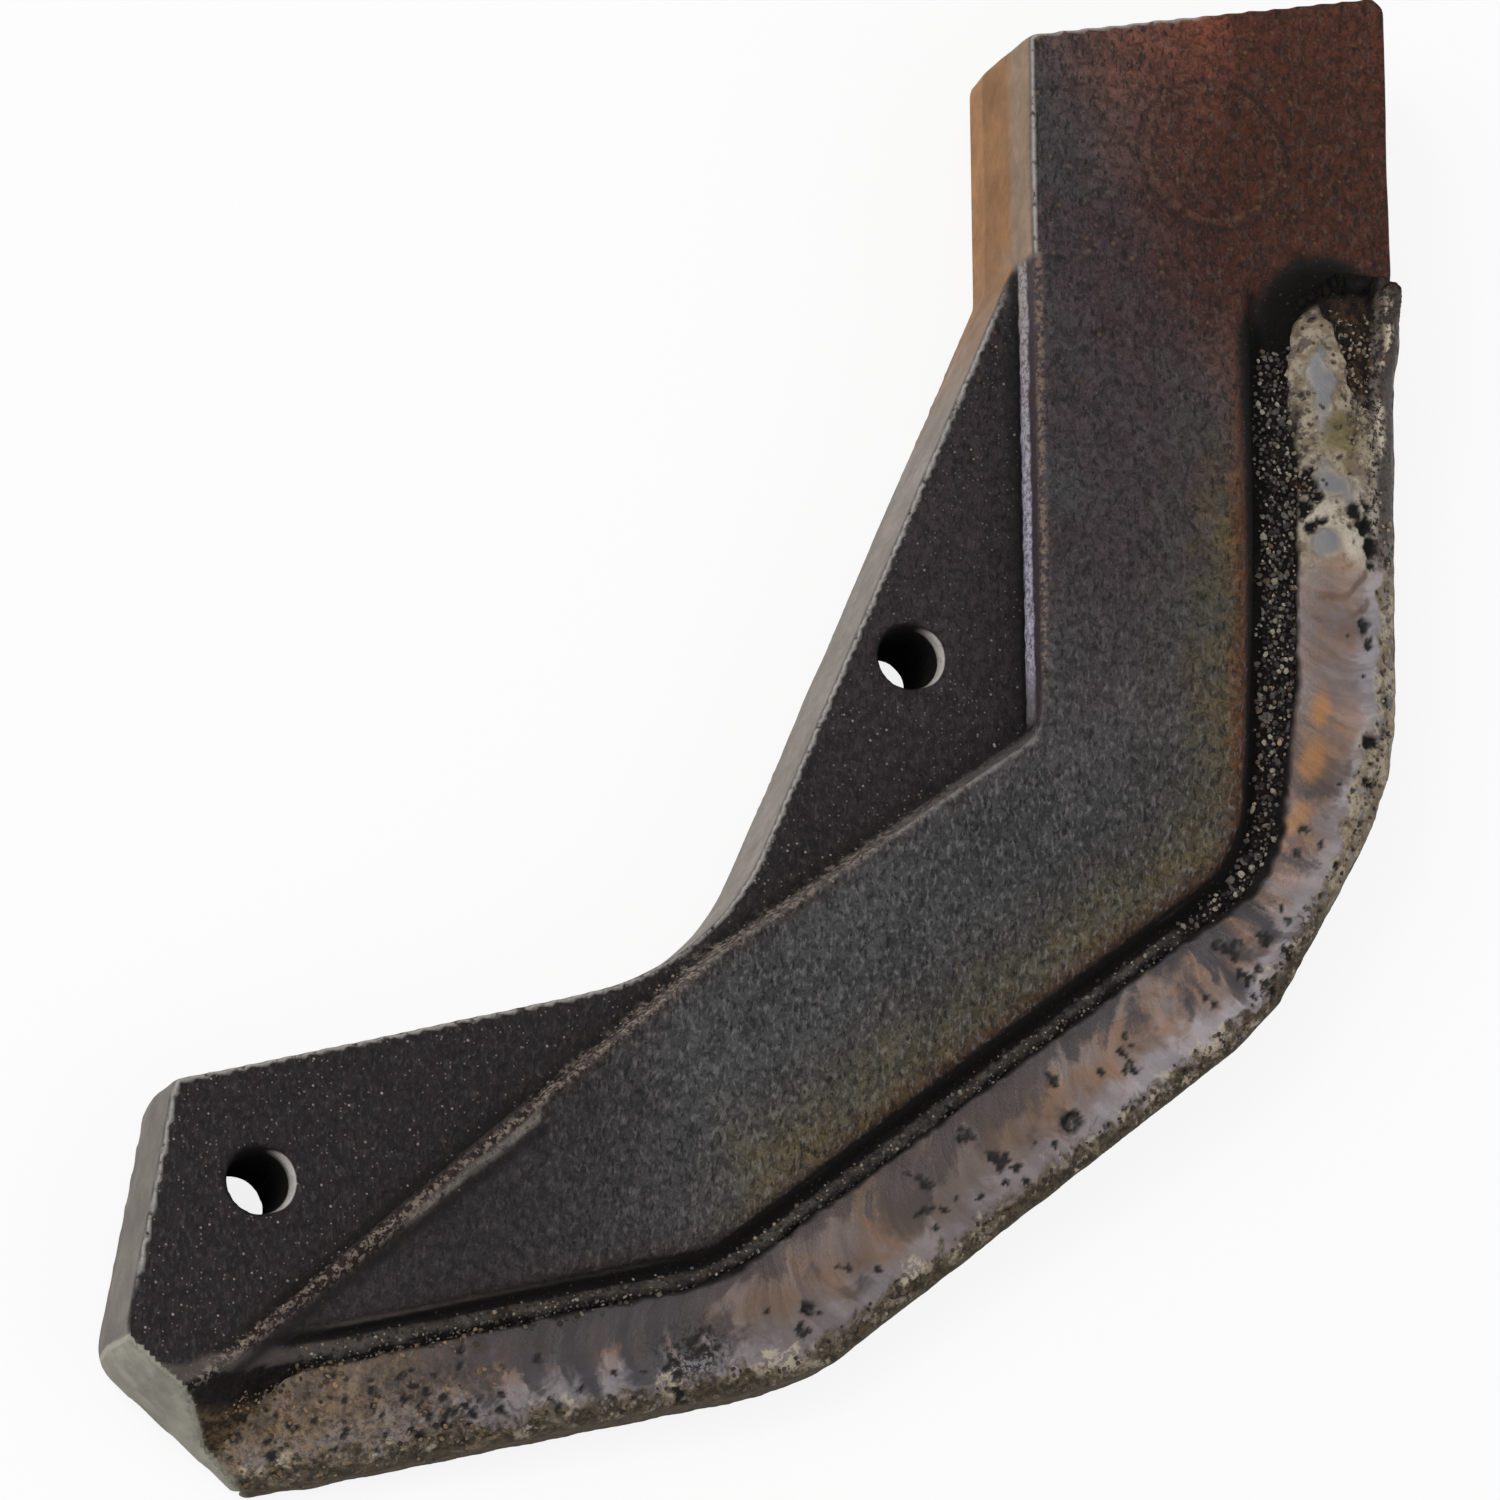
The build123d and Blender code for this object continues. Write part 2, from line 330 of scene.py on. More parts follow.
def line_coordinates(points, line):
    """Run along a line and distance inward from it, in millimetres, for each point."""
    samples, run, inward = line_samples(line)
    runs = np.empty(len(points))
    inwards = np.empty(len(points))
    chunk = 4000
    for first in range(0, len(points), chunk):
        part = points[first : first + chunk, :2]
        gaps = ((part[:, None, :] - samples[None, :, :]) ** 2).sum(axis=2)
        nearest = gaps.argmin(axis=1)
        offset = part - samples[nearest]
        runs[first : first + chunk] = run[nearest]
        inwards[first : first + chunk] = (offset * inward[nearest]).sum(axis=1)
    return runs, inwards


def weld_coordinates(points):
    """Run, distance inward from the edge, distance past the groove, and distance past the bead."""
    run, inward = line_coordinates(points, EDGE_CORNERS)
    groove = line_coordinates(points, GROOVE_CORNERS)[1]
    bead = groove + np.interp(run, LEDGE_RUNS, LEDGE_WIDTHS)
    return run, inward, groove, bead


def side_of_line(points, line):
    """Distance to a line in plan, with the pads' side positive."""
    best = np.full(len(points), 1e9)
    signed = np.zeros(len(points))
    for start, end in zip(line[:-1], line[1:]):
        start = np.array(start)
        along = np.array(end) - start
        length = np.linalg.norm(along)
        along = along / length
        offset = points[:, :2] - start
        share = np.clip(offset @ along, 0.0, length)
        gap = offset - share[:, None] * along
        distance = np.linalg.norm(gap, axis=1)
        cross = along[0] * offset[:, 1] - along[1] * offset[:, 0]
        closer = distance < best
        best[closer] = distance[closer]
        signed[closer] = (-np.sign(cross) * distance)[closer]
    return signed


def past_toe(points):
    """Distance past the toe's end face."""
    along = unit(np.array(TOE_TIP) - np.array(TOE_CORNER))
    return (points[:, :2] - np.array(TOE_CORNER)) @ np.array([along[1], -along[0]])


def smooth_step(values, low, high):
    """A smooth step up from 0 to 1."""
    share = np.clip((values - low) / (high - low), 0.0, 1.0)
    return share * share * (3 - 2 * share)


def fade(values, low, high):
    """A smooth step down."""
    return 1 - smooth_step(values, low, high)


def bell(values, centre, width):
    """A smooth bump of height 1 around a value."""
    return np.exp(-(((values - centre) / width) ** 2))


def band(values, low, high, soft):
    """1 between two values, with soft ends."""
    return smooth_step(values, low - soft, low + soft) * fade(values, high - soft, high + soft)


def hill(run, inward, centre, size):
    """A round hill of height 1 at a place along and across the edge."""
    return np.exp(-(((run - centre[0]) / size[0]) ** 2) - ((inward - centre[1]) / size[1]) ** 2)


def hills(run, inward, rows):
    """The highest of several hills."""
    return np.max([height * hill(run, inward, centre, size) for height, centre, size in rows], axis=0)


# Mesh handling


def only(piece):
    bpy.ops.object.select_all(action="DESELECT")
    piece.select_set(True)
    bpy.context.view_layer.objects.active = piece


def piece_from_node(name, node):
    """A merged copy of a CAD node's mesh."""
    mesh = node.data.copy()
    mesh.name = name
    piece = bpy.data.objects.new(name, mesh)
    bpy.context.scene.collection.objects.link(piece)
    only(piece)
    bpy.ops.object.mode_set(mode="EDIT")
    bpy.ops.mesh.select_all(action="SELECT")
    bpy.ops.mesh.remove_doubles(threshold=1e-6)
    bpy.ops.object.mode_set(mode="OBJECT")
    return piece


def remesh(piece, size):
    modifier = piece.modifiers.new("Even mesh", "REMESH")
    modifier.mode = "VOXEL"
    modifier.voxel_size = size
    modifier.adaptivity = 0.0
    bpy.ops.object.modifier_apply(modifier=modifier.name)


def soften(piece, passes):
    if passes:
        modifier = piece.modifiers.new("Soft edges", "SMOOTH")
        modifier.factor = 0.5
        modifier.iterations = passes
        bpy.ops.object.modifier_apply(modifier=modifier.name)


def points_of(piece):
    values = np.empty(len(piece.data.vertices) * 3)
    piece.data.vertices.foreach_get("co", values)
    return values.reshape(-1, 3) / MM


def normals_of(piece):
    values = np.empty(len(piece.data.vertices) * 3)
    piece.data.vertices.foreach_get("normal", values)
    return values.reshape(-1, 3)


def move_points(piece, points):
    piece.data.vertices.foreach_set("co", (points * MM).ravel())
    piece.data.update()


def edges_of(piece):
    values = np.empty(len(piece.data.edges) * 2, dtype=np.int64)
    piece.data.edges.foreach_get("vertices", values)
    return values.reshape(-1, 2)


def spread(values, edges, passes):
    """Averages a value over each point's neighbours."""
    count = np.bincount(edges.ravel(), minlength=len(values))
    for _ in range(passes):
        total = np.bincount(edges[:, 0], weights=values[edges[:, 1]], minlength=len(values))
        total += np.bincount(edges[:, 1], weights=values[edges[:, 0]], minlength=len(values))
        values = (values + total) / (count + 1)
    return values


def hollows(piece, passes):
    """Positive in hollows and negative on edges that stand out."""
    points = points_of(piece)
    edges = edges_of(piece)
    count = np.bincount(edges.ravel(), minlength=len(points))
    mean = np.empty_like(points)
    for axis in range(3):
        total = np.bincount(edges[:, 0], weights=points[edges[:, 1], axis], minlength=len(points))
        total += np.bincount(edges[:, 1], weights=points[edges[:, 0], axis], minlength=len(points))
        mean[:, axis] = total / count
    depth = ((mean - points) * normals_of(piece)).sum(axis=1)
    return spread(depth, edges, passes)


def store(piece, **fields):
    """Stores a value per point under each name."""
    for name, values in fields.items():
        attribute = piece.data.attributes.new(name=name, type="FLOAT", domain="POINT")
        attribute.data.foreach_set("value", values.astype(np.float32))


def cloud(points, size, seed):
    """Soft noise from -1 to 1, at a size in millimetres."""
    shift = Vector((seed * 17.3, seed * 9.1, seed * 5.7))
    return np.array([noise.noise(Vector(point) / size + shift) for point in points.tolist()])


# Materials


class Value:
    """A socket in a node tree, which adds and multiplies like a number."""

    def __init__(self, build, socket):
        self.build = build
        self.socket = socket

    def __add__(self, other):
        return self.build.math("ADD", self, other)

    def __sub__(self, other):
        return self.build.math("SUBTRACT", self, other)

    def __rsub__(self, other):
        return self.build.math("SUBTRACT", other, self)

    def __mul__(self, other):
        return self.build.math("MULTIPLY", self, other)

    def __truediv__(self, other):
        return self.build.math("DIVIDE", self, other)


def larger(first, second):
    """The larger of two values."""
    return first.build.math("MAXIMUM", first, second)


class NodeBuilder:
    """Adds and links the nodes of a material or of the world."""

    def __init__(self, owner):
        owner.use_nodes = True
        self.owner = owner
        self.nodes = owner.node_tree.nodes
        self.links = owner.node_tree.links
        self.nodes.clear()
        self.place = None

    def measure(self):
        """Adds the place on the object, in millimetres."""
        coordinates = self.add("TexCoord")
        mapping = self.add("Mapping", Vector=Value(self, coordinates.outputs["Object"]))
        mapping.inputs["Scale"].default_value = (1 / MM, 1 / MM, 1 / MM)
        self.place = Value(self, mapping.outputs["Vector"])

    def add(self, kind, **inputs):
        """A node with its inputs set or linked."""
        node = self.nodes.new("ShaderNode" + kind)
        for name, value in inputs.items():
            self.put(node.inputs[name], value)
        return node

    def put(self, socket, value):
        """Links a value to a socket, or sets the socket to a number or a colour."""
        if isinstance(value, Value):
            self.links.new(value.socket, socket)
        elif socket.type == "RGBA":
            socket.default_value = (value[0], value[1], value[2], 1.0)
        else:
            socket.default_value = value

    def attributes(self, names):
        """The values stored on the mesh under some names."""
        nodes = [self.add("Attribute") for name in names.split()]
        for node, name in zip(nodes, names.split()):
            node.attribute_name = name
        return [Value(self, node.outputs["Fac"]) for node in nodes]

    def math(self, operation, first, second=0.0):
        node = self.add("Math")
        node.operation = operation
        self.put(node.inputs[0], first)
        self.put(node.inputs[1], second)
        return Value(self, node.outputs[0])

    def step(self, value, low, high, start=0.0, end=1.0):
        """A smooth step from start to end."""
        node = self.add("MapRange")
        node.interpolation_type = "SMOOTHSTEP"
        names = ("Value", "From Min", "From Max", "To Min", "To Max")
        for name, item in zip(names, (value, low, high, start, end)):
            self.put(node.inputs[name], item)
        return Value(self, node.outputs["Result"])

    def between(self, value, low, high, soft):
        """1 between two values, with soft ends."""
        rise = self.step(value, low - soft, low + soft)
        return rise * self.step(value, high - soft, high + soft, 1.0, 0.0)

    def mix(self, share, first, second, blend="MIX"):
        """The first colour with a share of the second laid over it."""
        node = self.add("Mix")
        node.data_type = "RGBA"
        node.blend_type = blend
        self.put(node.inputs["Factor"], share)
        self.put(node.inputs[6], first)
        self.put(node.inputs[7], second)
        return Value(self, node.outputs[2])

    def shade(self, colour, value):
        """A colour times a grey value."""
        grey = self.add("CombineColor", Red=value, Green=value, Blue=value)
        return self.mix(1.0, colour, Value(self, grey.outputs["Color"]), "MULTIPLY")

    def noise(self, scale, detail=4.0, roughness=0.55, distortion=0.0, place=None):
        """Soft noise around 0.5, with its scale in waves per millimetre."""
        node = self.add("TexNoise", Vector=place or self.place, Scale=scale, Detail=detail)
        self.put(node.inputs["Roughness"], roughness)
        self.put(node.inputs["Distortion"], distortion)
        return Value(self, node.outputs["Fac"])

    def spots(self, scale, size, share):
        """Small round spots: one in each of a share of the cells."""
        cells = self.add("TexVoronoi", Vector=self.place, Scale=scale)
        near = self.step(Value(self, cells.outputs["Distance"]), size * 0.6, size, 1.0, 0.0)
        split = self.add("SeparateColor", Color=Value(self, cells.outputs["Color"]))
        return near * self.math("GREATER_THAN", Value(self, split.outputs["Red"]), 1.0 - share)

    def axes(self):
        node = self.add("SeparateXYZ", Vector=self.place)
        return [Value(self, node.outputs[axis]) for axis in "XYZ"]

    def distance(self, centre_x, centre_y):
        """Distance in plan from a place, in millimetres."""
        x, y, _ = self.axes()
        across = x - centre_x
        along = y - centre_y
        return self.math("SQRT", across * across + along * along)

    def crescent(self, centre, low, high, reach):
        """A ring round a hole from low to high, widest on the +X side, where it spreads by reach."""
        distance = self.distance(*centre)
        facing = self.step((self.axes()[0] - centre[0]) / distance, 0.15, 0.85)
        rise = self.step(distance, low - 0.1, low + 0.1)
        fall = self.step(distance - (facing * reach + high), -0.15, 0.05, 1.0, 0.0)
        return rise * fall * facing

    def place_from(self, x, y, z=0.0):
        return Value(self, self.add("CombineXYZ", X=x, Y=y, Z=z).outputs[0])

    def bump(self, height, distance, normal=None):
        node = self.add("Bump", Height=height, Distance=distance, Strength=1.0)
        if normal is not None:
            self.put(node.inputs["Normal"], normal)
        return Value(self, node.outputs["Normal"])

    def finish(self, colour, roughness, normal, metallic, specular):
        """The material, once its surface is linked up."""
        shader = self.add("BsdfPrincipled", Roughness=roughness, Metallic=metallic, Normal=normal)
        self.put(shader.inputs["Base Color"], colour)
        shader.inputs["Specular IOR Level"].default_value = specular
        output = self.add("OutputMaterial")
        self.links.new(shader.outputs["BSDF"], output.inputs["Surface"])
        return self.owner


def forging_scale(settings):
    """Dark forging scale, rusted at the top and tinted by the weld's heat."""
    build = NodeBuilder(bpy.data.materials.new("Forging scale"))
    build.measure()
    mix, shade, step, between = build.mix, build.shade, build.step, build.between
    noise, spots, distance, bump = build.noise, build.spots, build.distance, build.bump
    x, y, z = build.axes()
    run, groove, pad, wall, rear_edge = build.attributes("run groove pad wall rear_edge")
    step_wall, step_edge, ridge, crest = build.attributes("step_wall step_edge ridge crest")
    rib_shade, hollow, toe_end, slag = build.attributes("rib_shade hollow toe_end slag")
    ledge, scorch, bore, channel = build.attributes("ledge scorch bore channel")

    patches = noise(0.05, 4.0, 0.6)
    mottle = noise(0.3, 5.0, 0.62)
    grain = noise(0.75, 5.0, 0.66, 0.9)
    fine = noise(3.0, 3.0, 0.7)
    flecks = noise(1.3, 4.0, 0.6, 0.0, build.place_from(x * 1.3, y * 0.6, z))
    drift = patches - 0.5

    # Scale of the blade and the shank
    face = mix(step(patches, 0.4, 0.6), shade(settings.scale_grey, 1.25), shade(settings.scale_grey, 0.8))
    purple = mix(step(patches, 0.42, 0.6), settings.scale_shank, shade(settings.scale_grey, 0.92))
    face = mix(step(y, -28.0, 18.0), face, purple)
    rusty = step(x * 0.03 + y * 0.016 + drift * 1.5, 1.7, 3.1)
    face = mix(rusty, face, settings.rust)
    from_scorch = distance(*SCORCH_CENTRE)
    burnt = step(from_scorch + drift * 18.0, 36.0, 10.0, 0.0, 0.9)
    face = mix(burnt, face, srgb(56, 23, 10))
    low = step(y, 44.0, 10.0) * step(x, 24.0, 52.0)
    face = mix(low * step(mottle, 0.3, 0.7, 0.05, 0.4), face, shade(settings.straw, 0.9))

    # Heat tints beside the groove: red-brown along the shank, olive along the blade
    wavy = groove + drift * 16.0
    tint = step(wavy, 17.0, 1.0) * between(run, 84.0, 196.0, 16.0)
    face = mix(tint * step(mottle, 0.3, 0.7, 0.35, 0.9), face, settings.straw)
    olive = step(wavy, 13.0, 4.0) * between(run, 30.0, 84.0, 12.0)
    face = mix(olive * step(mottle, 0.3, 0.7, 0.2, 0.75), face, settings.straw)
    red = step(groove + drift * 6.0, 5.5, 1.2) * between(run, 14.0, 88.0, 10.0)
    face = mix(red * step(mottle, 0.3, 0.65, 0.25, 0.85), face, shade(srgb(112, 66, 36), 0.95))
    dark_foot = step(groove, 4.6, 0.8) * step(run, 190.0, 150.0, 0.3, 0.85)
    face = mix(dark_foot, face, shade(settings.rust, 0.28))
    toe_side = step(run, 190.0, 236.0)
    face = mix(toe_side * 0.85, face, shade(settings.scale_dark, 1.35))
    pads = mix(step(y, -40.0, 30.0), settings.scale_dark, shade(settings.scale_shank, 0.74))
    face = mix(pad, face, pads)
    brown_zone = ridge * step(mottle, 0.35, 0.6, 0.3, 0.8)
    face = mix(brown_zone, face, srgb(54, 36, 31))

    # Grain of the scale, with silvery flecks of painted glint on the blade
    grain_shade = step(grain, 0.36, 0.64, 0.58, 1.44) * step(fine, 0.3, 0.7, 0.8, 1.2)
    face = shade(face, grain_shade)
    upright = build.place_from(x, y * 0.45, z)
    strokes = step(noise(1.5, 2.0, 0.5, 0.0, upright), 0.36, 0.42, 0.7, 0.0)
    face = mix(strokes * (1.0 - wall), face, shade(settings.scale_dark, 0.5))
    silver_glints = step(flecks, 0.5, 0.7) * step(y, 25.0, -30.0, 0.12, 0.48)
    silver_glints = silver_glints * (1.0 - larger(pad, toe_side) * 0.75)
    face = mix(silver_glints, face, srgb(136, 133, 130))
    ring = distance(*RING_CENTRE)
    raised = between(ring, 9.3, 10.2, 0.3) * step(grain, 0.42, 0.58, 0.05, 0.45)
    face = mix(raised, face, srgb(98, 74, 56))
    shadow = between(ring, 10.6, 11.3, 0.35) * 0.45
    face = mix(shadow, face, shade(settings.scale_dark, 0.7))
    rust_dots = spots(0.75, 0.3, 0.4) * (step(y, 20.0, 55.0) * step(mottle, 0.42, 0.6))
    face = mix(rust_dots * 0.4, face, srgb(128, 96, 58))

    # Ledge, slag with painted shade in the crevice beside the bead, scorch, and painted shadow in the
    # groove
    strip = shade(settings.ledge_grey, step(noise(0.9, 4.0, 0.65), 0.3, 0.7, 0.45, 1.2))
    strip = shade(strip, step(noise(0.22, 4.0, 0.65), 0.36, 0.62, 0.55, 1.1))
    strip = mix(step(noise(0.5, 3.0, 0.6), 0.55, 0.66, 0.0, 0.5), strip, srgb(98, 76, 56))
    strip = mix(step(run, 236.0, 262.0, 0.0, 0.6), strip, srgb(106, 96, 92))
    face = mix(ledge, face, strip)
    # Slag beside the weld, and painted shade in the crevice between the ledge and the bead
    slag_tone = shade(settings.soot_and_shade, step(noise(1.1, 4.0, 0.7), 0.4, 0.65, 1.0, 5.2))
    face = mix(slag, face, slag_tone)
    toe_floor = step(run, 262.0, 268.0) * step(groove, -5.6, -7.6)
    toe_brown = mix(step(noise(0.6, 4.0, 0.7), 0.4, 0.62), srgb(58, 47, 37), srgb(126, 104, 76))
    face = mix(toe_floor * 0.95, face, toe_brown)
    rim_of_scorch = scorch + (grain - 0.5) * 0.6
    face = mix(step(rim_of_scorch, 0.25, 0.62), face, settings.soot_and_shade)
    # Painted shadow along the groove's channel
    channel_shadow = channel + (grain - 0.5) * 1.1
    face = mix(step(channel_shadow, 0.24, 0.62), face, settings.soot_and_shade)

    # Walls
    low_band = mix(step(z, 6.4, 7.6), shade(settings.wall_tan, 1.08), shade(settings.wall_tan, 0.8))
    banded = mix(step(z, 15.5, 18.5), low_band, srgb(150, 125, 103))
    waver = y + (mottle - 0.5) * 30.0
    side = mix(step(waver, 30.0, 66.0), settings.wall_grey, banded)
    side = mix(step(x, 45.0, 62.0, 0.0, 0.75), side, shade(settings.rust, 0.85))
    side = shade(side, step(x, -94.0, -101.0, 0.94, 0.66))
    side = shade(side, step(noise(0.16, 5.0, 0.7), 0.3, 0.75, 0.74, 1.14))
    side = shade(side, step(noise(0.6, 4.0, 0.7), 0.3, 0.7, 0.88, 1.1))
    face = mix(wall, face, side)
    pale_toe = shade(settings.toe_pale, step(mottle, 0.3, 0.7, 0.85, 1.35))
    face = mix(toe_end, face, pale_toe)
    # Painted highlight along the lip of the toe's end
    face = mix(between(toe_end, 0.2, 0.8, 0.12) * 0.75, face, srgb(176, 172, 156))
    # Painted highlight in broken lines along the rear edges
    edge_glints = rear_edge * step(noise(0.7, 3.0, 0.6), 0.3, 0.5)
    face = mix(edge_glints * 0.8, face, settings.bare_edge_glint)

    # Step wall: a dark foot, a bright speckled line of painted light where the wall faces the lamp, a
    # purple-brown strip and a thin dotted line of painted highlight along its top edge
    speckle = step(noise(1.4, 4.0, 0.75), 0.36, 0.6)
    glint = mix(step(y, 60.0, 10.0), srgb(168, 160, 158), srgb(188, 186, 206))
    glint = mix(step(y, 2.0, -8.0), glint, srgb(110, 104, 108))
    waver_z = z + (mottle - 0.5) * 1.6
    bright = mix(speckle, srgb(108, 99, 102), glint)
    stripe = mix(step(waver_z, 18.4, 19.1), shade(settings.scale_dark, 0.45), bright)
    stripe = mix(step(waver_z, 21.4, 22.2), stripe, shade(settings.scale_shank, 1.15))
    face = mix(step_wall, face, stripe)
    # Painted highlight in a broken line along the step wall's top edge
    dotted = step_edge * step(noise(1.3, 3.0, 0.7), 0.44, 0.56)
    face = mix(dotted * 0.75, face, srgb(138, 116, 98))
    # Painted highlight in dots along the crests of the ridge and the rib
    crest_glints = crest * step(noise(1.2, 2.5, 0.65), 0.5, 0.58)
    face = mix(crest_glints * 0.8, face, srgb(168, 154, 140))
    face = mix(rib_shade * 0.85, face, shade(settings.soot_and_shade, 1.6))

    # Painted shade in creases and hollows
    crease_shade = step(hollow, 0.012, 0.06)
    face = mix(crease_shade * 0.9, face, settings.soot_and_shade)
    # Painted shade inside the bolt holes
    face = mix(bore, face, shade(settings.soot_and_shade, 1.5))
    # Painted light on the bolt holes' chamfers, widest on each hole's +X side, whose chamfer faces the lamp
    on_front = step(z, 14.8, 15.3)
    for centre in BOLT_HOLES:
        face = mix(build.crescent(centre, 4.3, 4.5, 0.45) * on_front, face, settings.bare_edge_glint)

    specks = spots(0.85, 0.19, 0.34) * step(mottle, 0.42, 0.58)
    tiny = spots(1.6, 0.26, 0.26) * 0.5
    share = larger(pad * step(y, 30.0, -50.0, 0.45, 0.7), 0.1)
    sparkle = larger(specks, tiny) * share
    face = mix(sparkle, face, srgb(178, 168, 156))

    crumb = noise(1.7, 5.0, 0.75)
    smooth_wall = 1.0 - larger(wall, toe_end) * 0.75
    normal = bump(grain * smooth_wall, settings.grain_height * 3.0)
    normal = bump(flecks * smooth_wall, settings.grain_height * 1.2, normal)
    normal = bump(fine, settings.grain_height * 0.35, normal)
    rough_places = larger(ledge * 0.6, ridge * 0.6)
    rough_places = crumb * larger(slag, rough_places)
    normal = bump(rough_places, 0.8 * MM, normal)
    roughness = step(mottle, 0.3, 0.7, 0.5, 0.64)
    matt = larger(larger(channel, slag), larger(scorch, bore))
    roughness = larger(roughness, matt)
    return build.finish(face, roughness, normal, 0.0, 0.24)


def weld_metal(settings):
    """Hardfacing: tempered bead, pale crust on the rim, slag, black in its pores, and painted shade in
    creases, along the bead's inner edge and in the toe's pocket.
    """
    build = NodeBuilder(bpy.data.materials.new("Weld metal"))
    build.measure()
    mix, shade, step, between = build.mix, build.shade, build.step, build.between
    noise, spots, bump = build.noise, build.spots, build.bump
    inward, run, bead, flow_run, hot = build.attributes("inward run bead flow hot")
    pit, hollow, crust_share, side = build.attributes("pit hollow crust side")
    puddle, moss, net, arcs, strip = build.attributes("puddle moss net arcs strip")
    drip, lip, slag, crater, spatter = build.attributes("drip lip slag crater spatter")

    wide = noise(0.07, 3.0, 0.6, 0.8)
    medium = noise(0.2, 4.0, 0.6, 1.6)
    flow = build.place_from(flow_run, inward * 0.16)
    sweep = noise(0.13, 3.0, 0.6, 0.3, flow)
    streak = noise(0.5, 4.0, 0.62, 0.8, flow)
    fans = noise(0.11, 3.0, 0.6, 0.9, build.place_from(flow_run, inward * 0.45))
    fine = noise(2.4, 4.0, 0.7)
    drift = medium - 0.5

    # Heat tints across the bead: dark inner side, tan middle, pale lilac towards the rim, with a painted
    # highlight beside the rim
    across = inward + drift * 9.0
    inner = bead + drift * 8.0
    metal = mix(step(across, 8.5, 3.0), settings.bead_tan, settings.lilac)
    metal = mix(step(wide, 0.44, 0.6) * 0.6, metal, shade(settings.lilac, 0.82))
    shine = between(across, 1.8, 5.2, 1.0) * step(fans, 0.46, 0.58, 0.05, 0.55)
    metal = mix(shine * step(run, 226.0, 200.0, 0.3, 1.0), metal, srgb(172, 164, 170))
    shaded = inner + (fans - 0.5) * 32.0
    shaded = shaded + between(run, 206.0, 234.0, 9.0) * 3.5
    fan_share = step(shaded, -7.6, -3.2, 0.0, 0.92) * step(run, 50.0, 92.0, 0.25, 1.0)
    metal = mix(fan_share, metal, settings.bead_dark)
    hot = hot + (streak - 0.5) * 0.9
    hot = step(hot, 0.1, 1.05, 0.0, 0.8)
    faint = step(sweep, 0.5, 0.62) * between(across, 4.0, 11.0, 2.5)
    faint = faint * step(run, 196.0, 182.0, 0.05, 0.22)
    metal = mix(larger(hot, faint), metal, settings.bead_straw)
    dull = larger(between(run, 138.0, 206.0, 14.0) * 0.5, step(run, 224.0, 242.0) * 0.25)
    metal = mix(dull, metal, settings.bead_brown)
    metal = shade(metal, step(streak, 0.32, 0.68, 0.84, 1.12))
    metal = shade(metal, step(sweep, 0.35, 0.62, 0.86, 1.08))
    blotch = step(noise(0.38, 3.0, 0.6, 0.8), 0.53, 0.6) * step(run, 214.0, 236.0)
    metal = mix(blotch * 0.6, metal, shade(settings.bead_brown, 0.55))
    toe_tan = step(run, 236.0, 262.0) * step(noise(0.3, 4.0, 0.7, 1.0), 0.42, 0.55, 0.25, 0.85)
    metal = mix(toe_tan, metal, shade(srgb(122, 104, 80), step(streak, 0.35, 0.65, 0.7, 1.25)))
    tan_grit = step(noise(0.8, 4.0, 0.7), 0.52, 0.62) * step(run, 226.0, 258.0)
    tan_grit = tan_grit * step(inward, 8.0, 3.0, 0.35, 1.0)
    metal = mix(tan_grit * 0.7, metal, srgb(158, 130, 92))

    # Crust on the top of the weld and along the rim, with smooth puddles in it
    pale = mix(step(fine, 0.35, 0.65), shade(settings.crust, 0.84), settings.crust)
    pale = mix(step(noise(0.34, 4.0, 0.62, 0.4), 0.42, 0.58, 0.0, 0.85), pale, srgb(140, 122, 96))
    pale = mix(step(noise(0.9, 3.0, 0.6), 0.55, 0.64, 0.0, 0.6), pale, srgb(96, 84, 64))
    pale = mix(spots(0.75, 0.28, 0.24) * 0.85, pale, settings.soot_and_shade)
    speck = step(noise(0.45, 4.0, 0.6, 0.3), 0.38, 0.46)
    metal = mix(crust_share * speck, metal, pale)
    net = net * step(noise(0.5, 4.0, 0.6), 0.36, 0.5)
    metal = mix(net, metal, shade(srgb(226, 215, 196), step(fine, 0.3, 0.7, 0.82, 1.05)))
    metal = mix(step(arcs, 0.2, 0.9, 0.0, 0.7), metal, srgb(92, 68, 50))
    metal = mix(moss * 0.85, metal, shade(settings.moss, step(streak, 0.3, 0.7, 0.7, 1.2)))
    pool = mix(step(medium, 0.35, 0.65), shade(settings.puddle, 0.92), shade(settings.crust, 0.62))
    metal = mix(step(puddle, 0.12, 0.5, 0.0, 0.85), metal, pool)
    metal = mix(step(puddle, 0.42, 1.0, 0.0, 0.85), metal, settings.puddle)
    rim_band = step(across, 3.0, 1.0) * step(run, 84.0, 96.0)
    grit = step(noise(0.9, 4.0, 0.72), 0.42, 0.6)
    gritty = mix(grit, shade(settings.rim_olive, 0.4), shade(settings.rim_olive, 1.25))
    metal = mix(rim_band * step(noise(0.4, 4.0, 0.7), 0.36, 0.48), metal, gritty)
    cream = between(across, 0.2, 3.4, 0.7) * step(noise(0.16, 3.0, 0.6), 0.52, 0.6)
    cream = cream * step(noise(0.8, 3.0, 0.65), 0.42, 0.52)
    metal = mix(cream * step(run, 84.0, 92.0, 0.0, 0.75), metal, shade(settings.crust, 0.85))
    olive = shade(settings.rim_olive, step(noise(0.6, 5.0, 0.7), 0.3, 0.7, 0.45, 1.35))
    olive = mix(step(run, 72.0, 50.0, 0.0, 0.8), olive, srgb(66, 52, 44))
    metal = mix(side, metal, olive)
    metal = mix(strip, metal, shade(srgb(72, 54, 40), step(medium, 0.35, 0.65, 0.55, 1.2)))
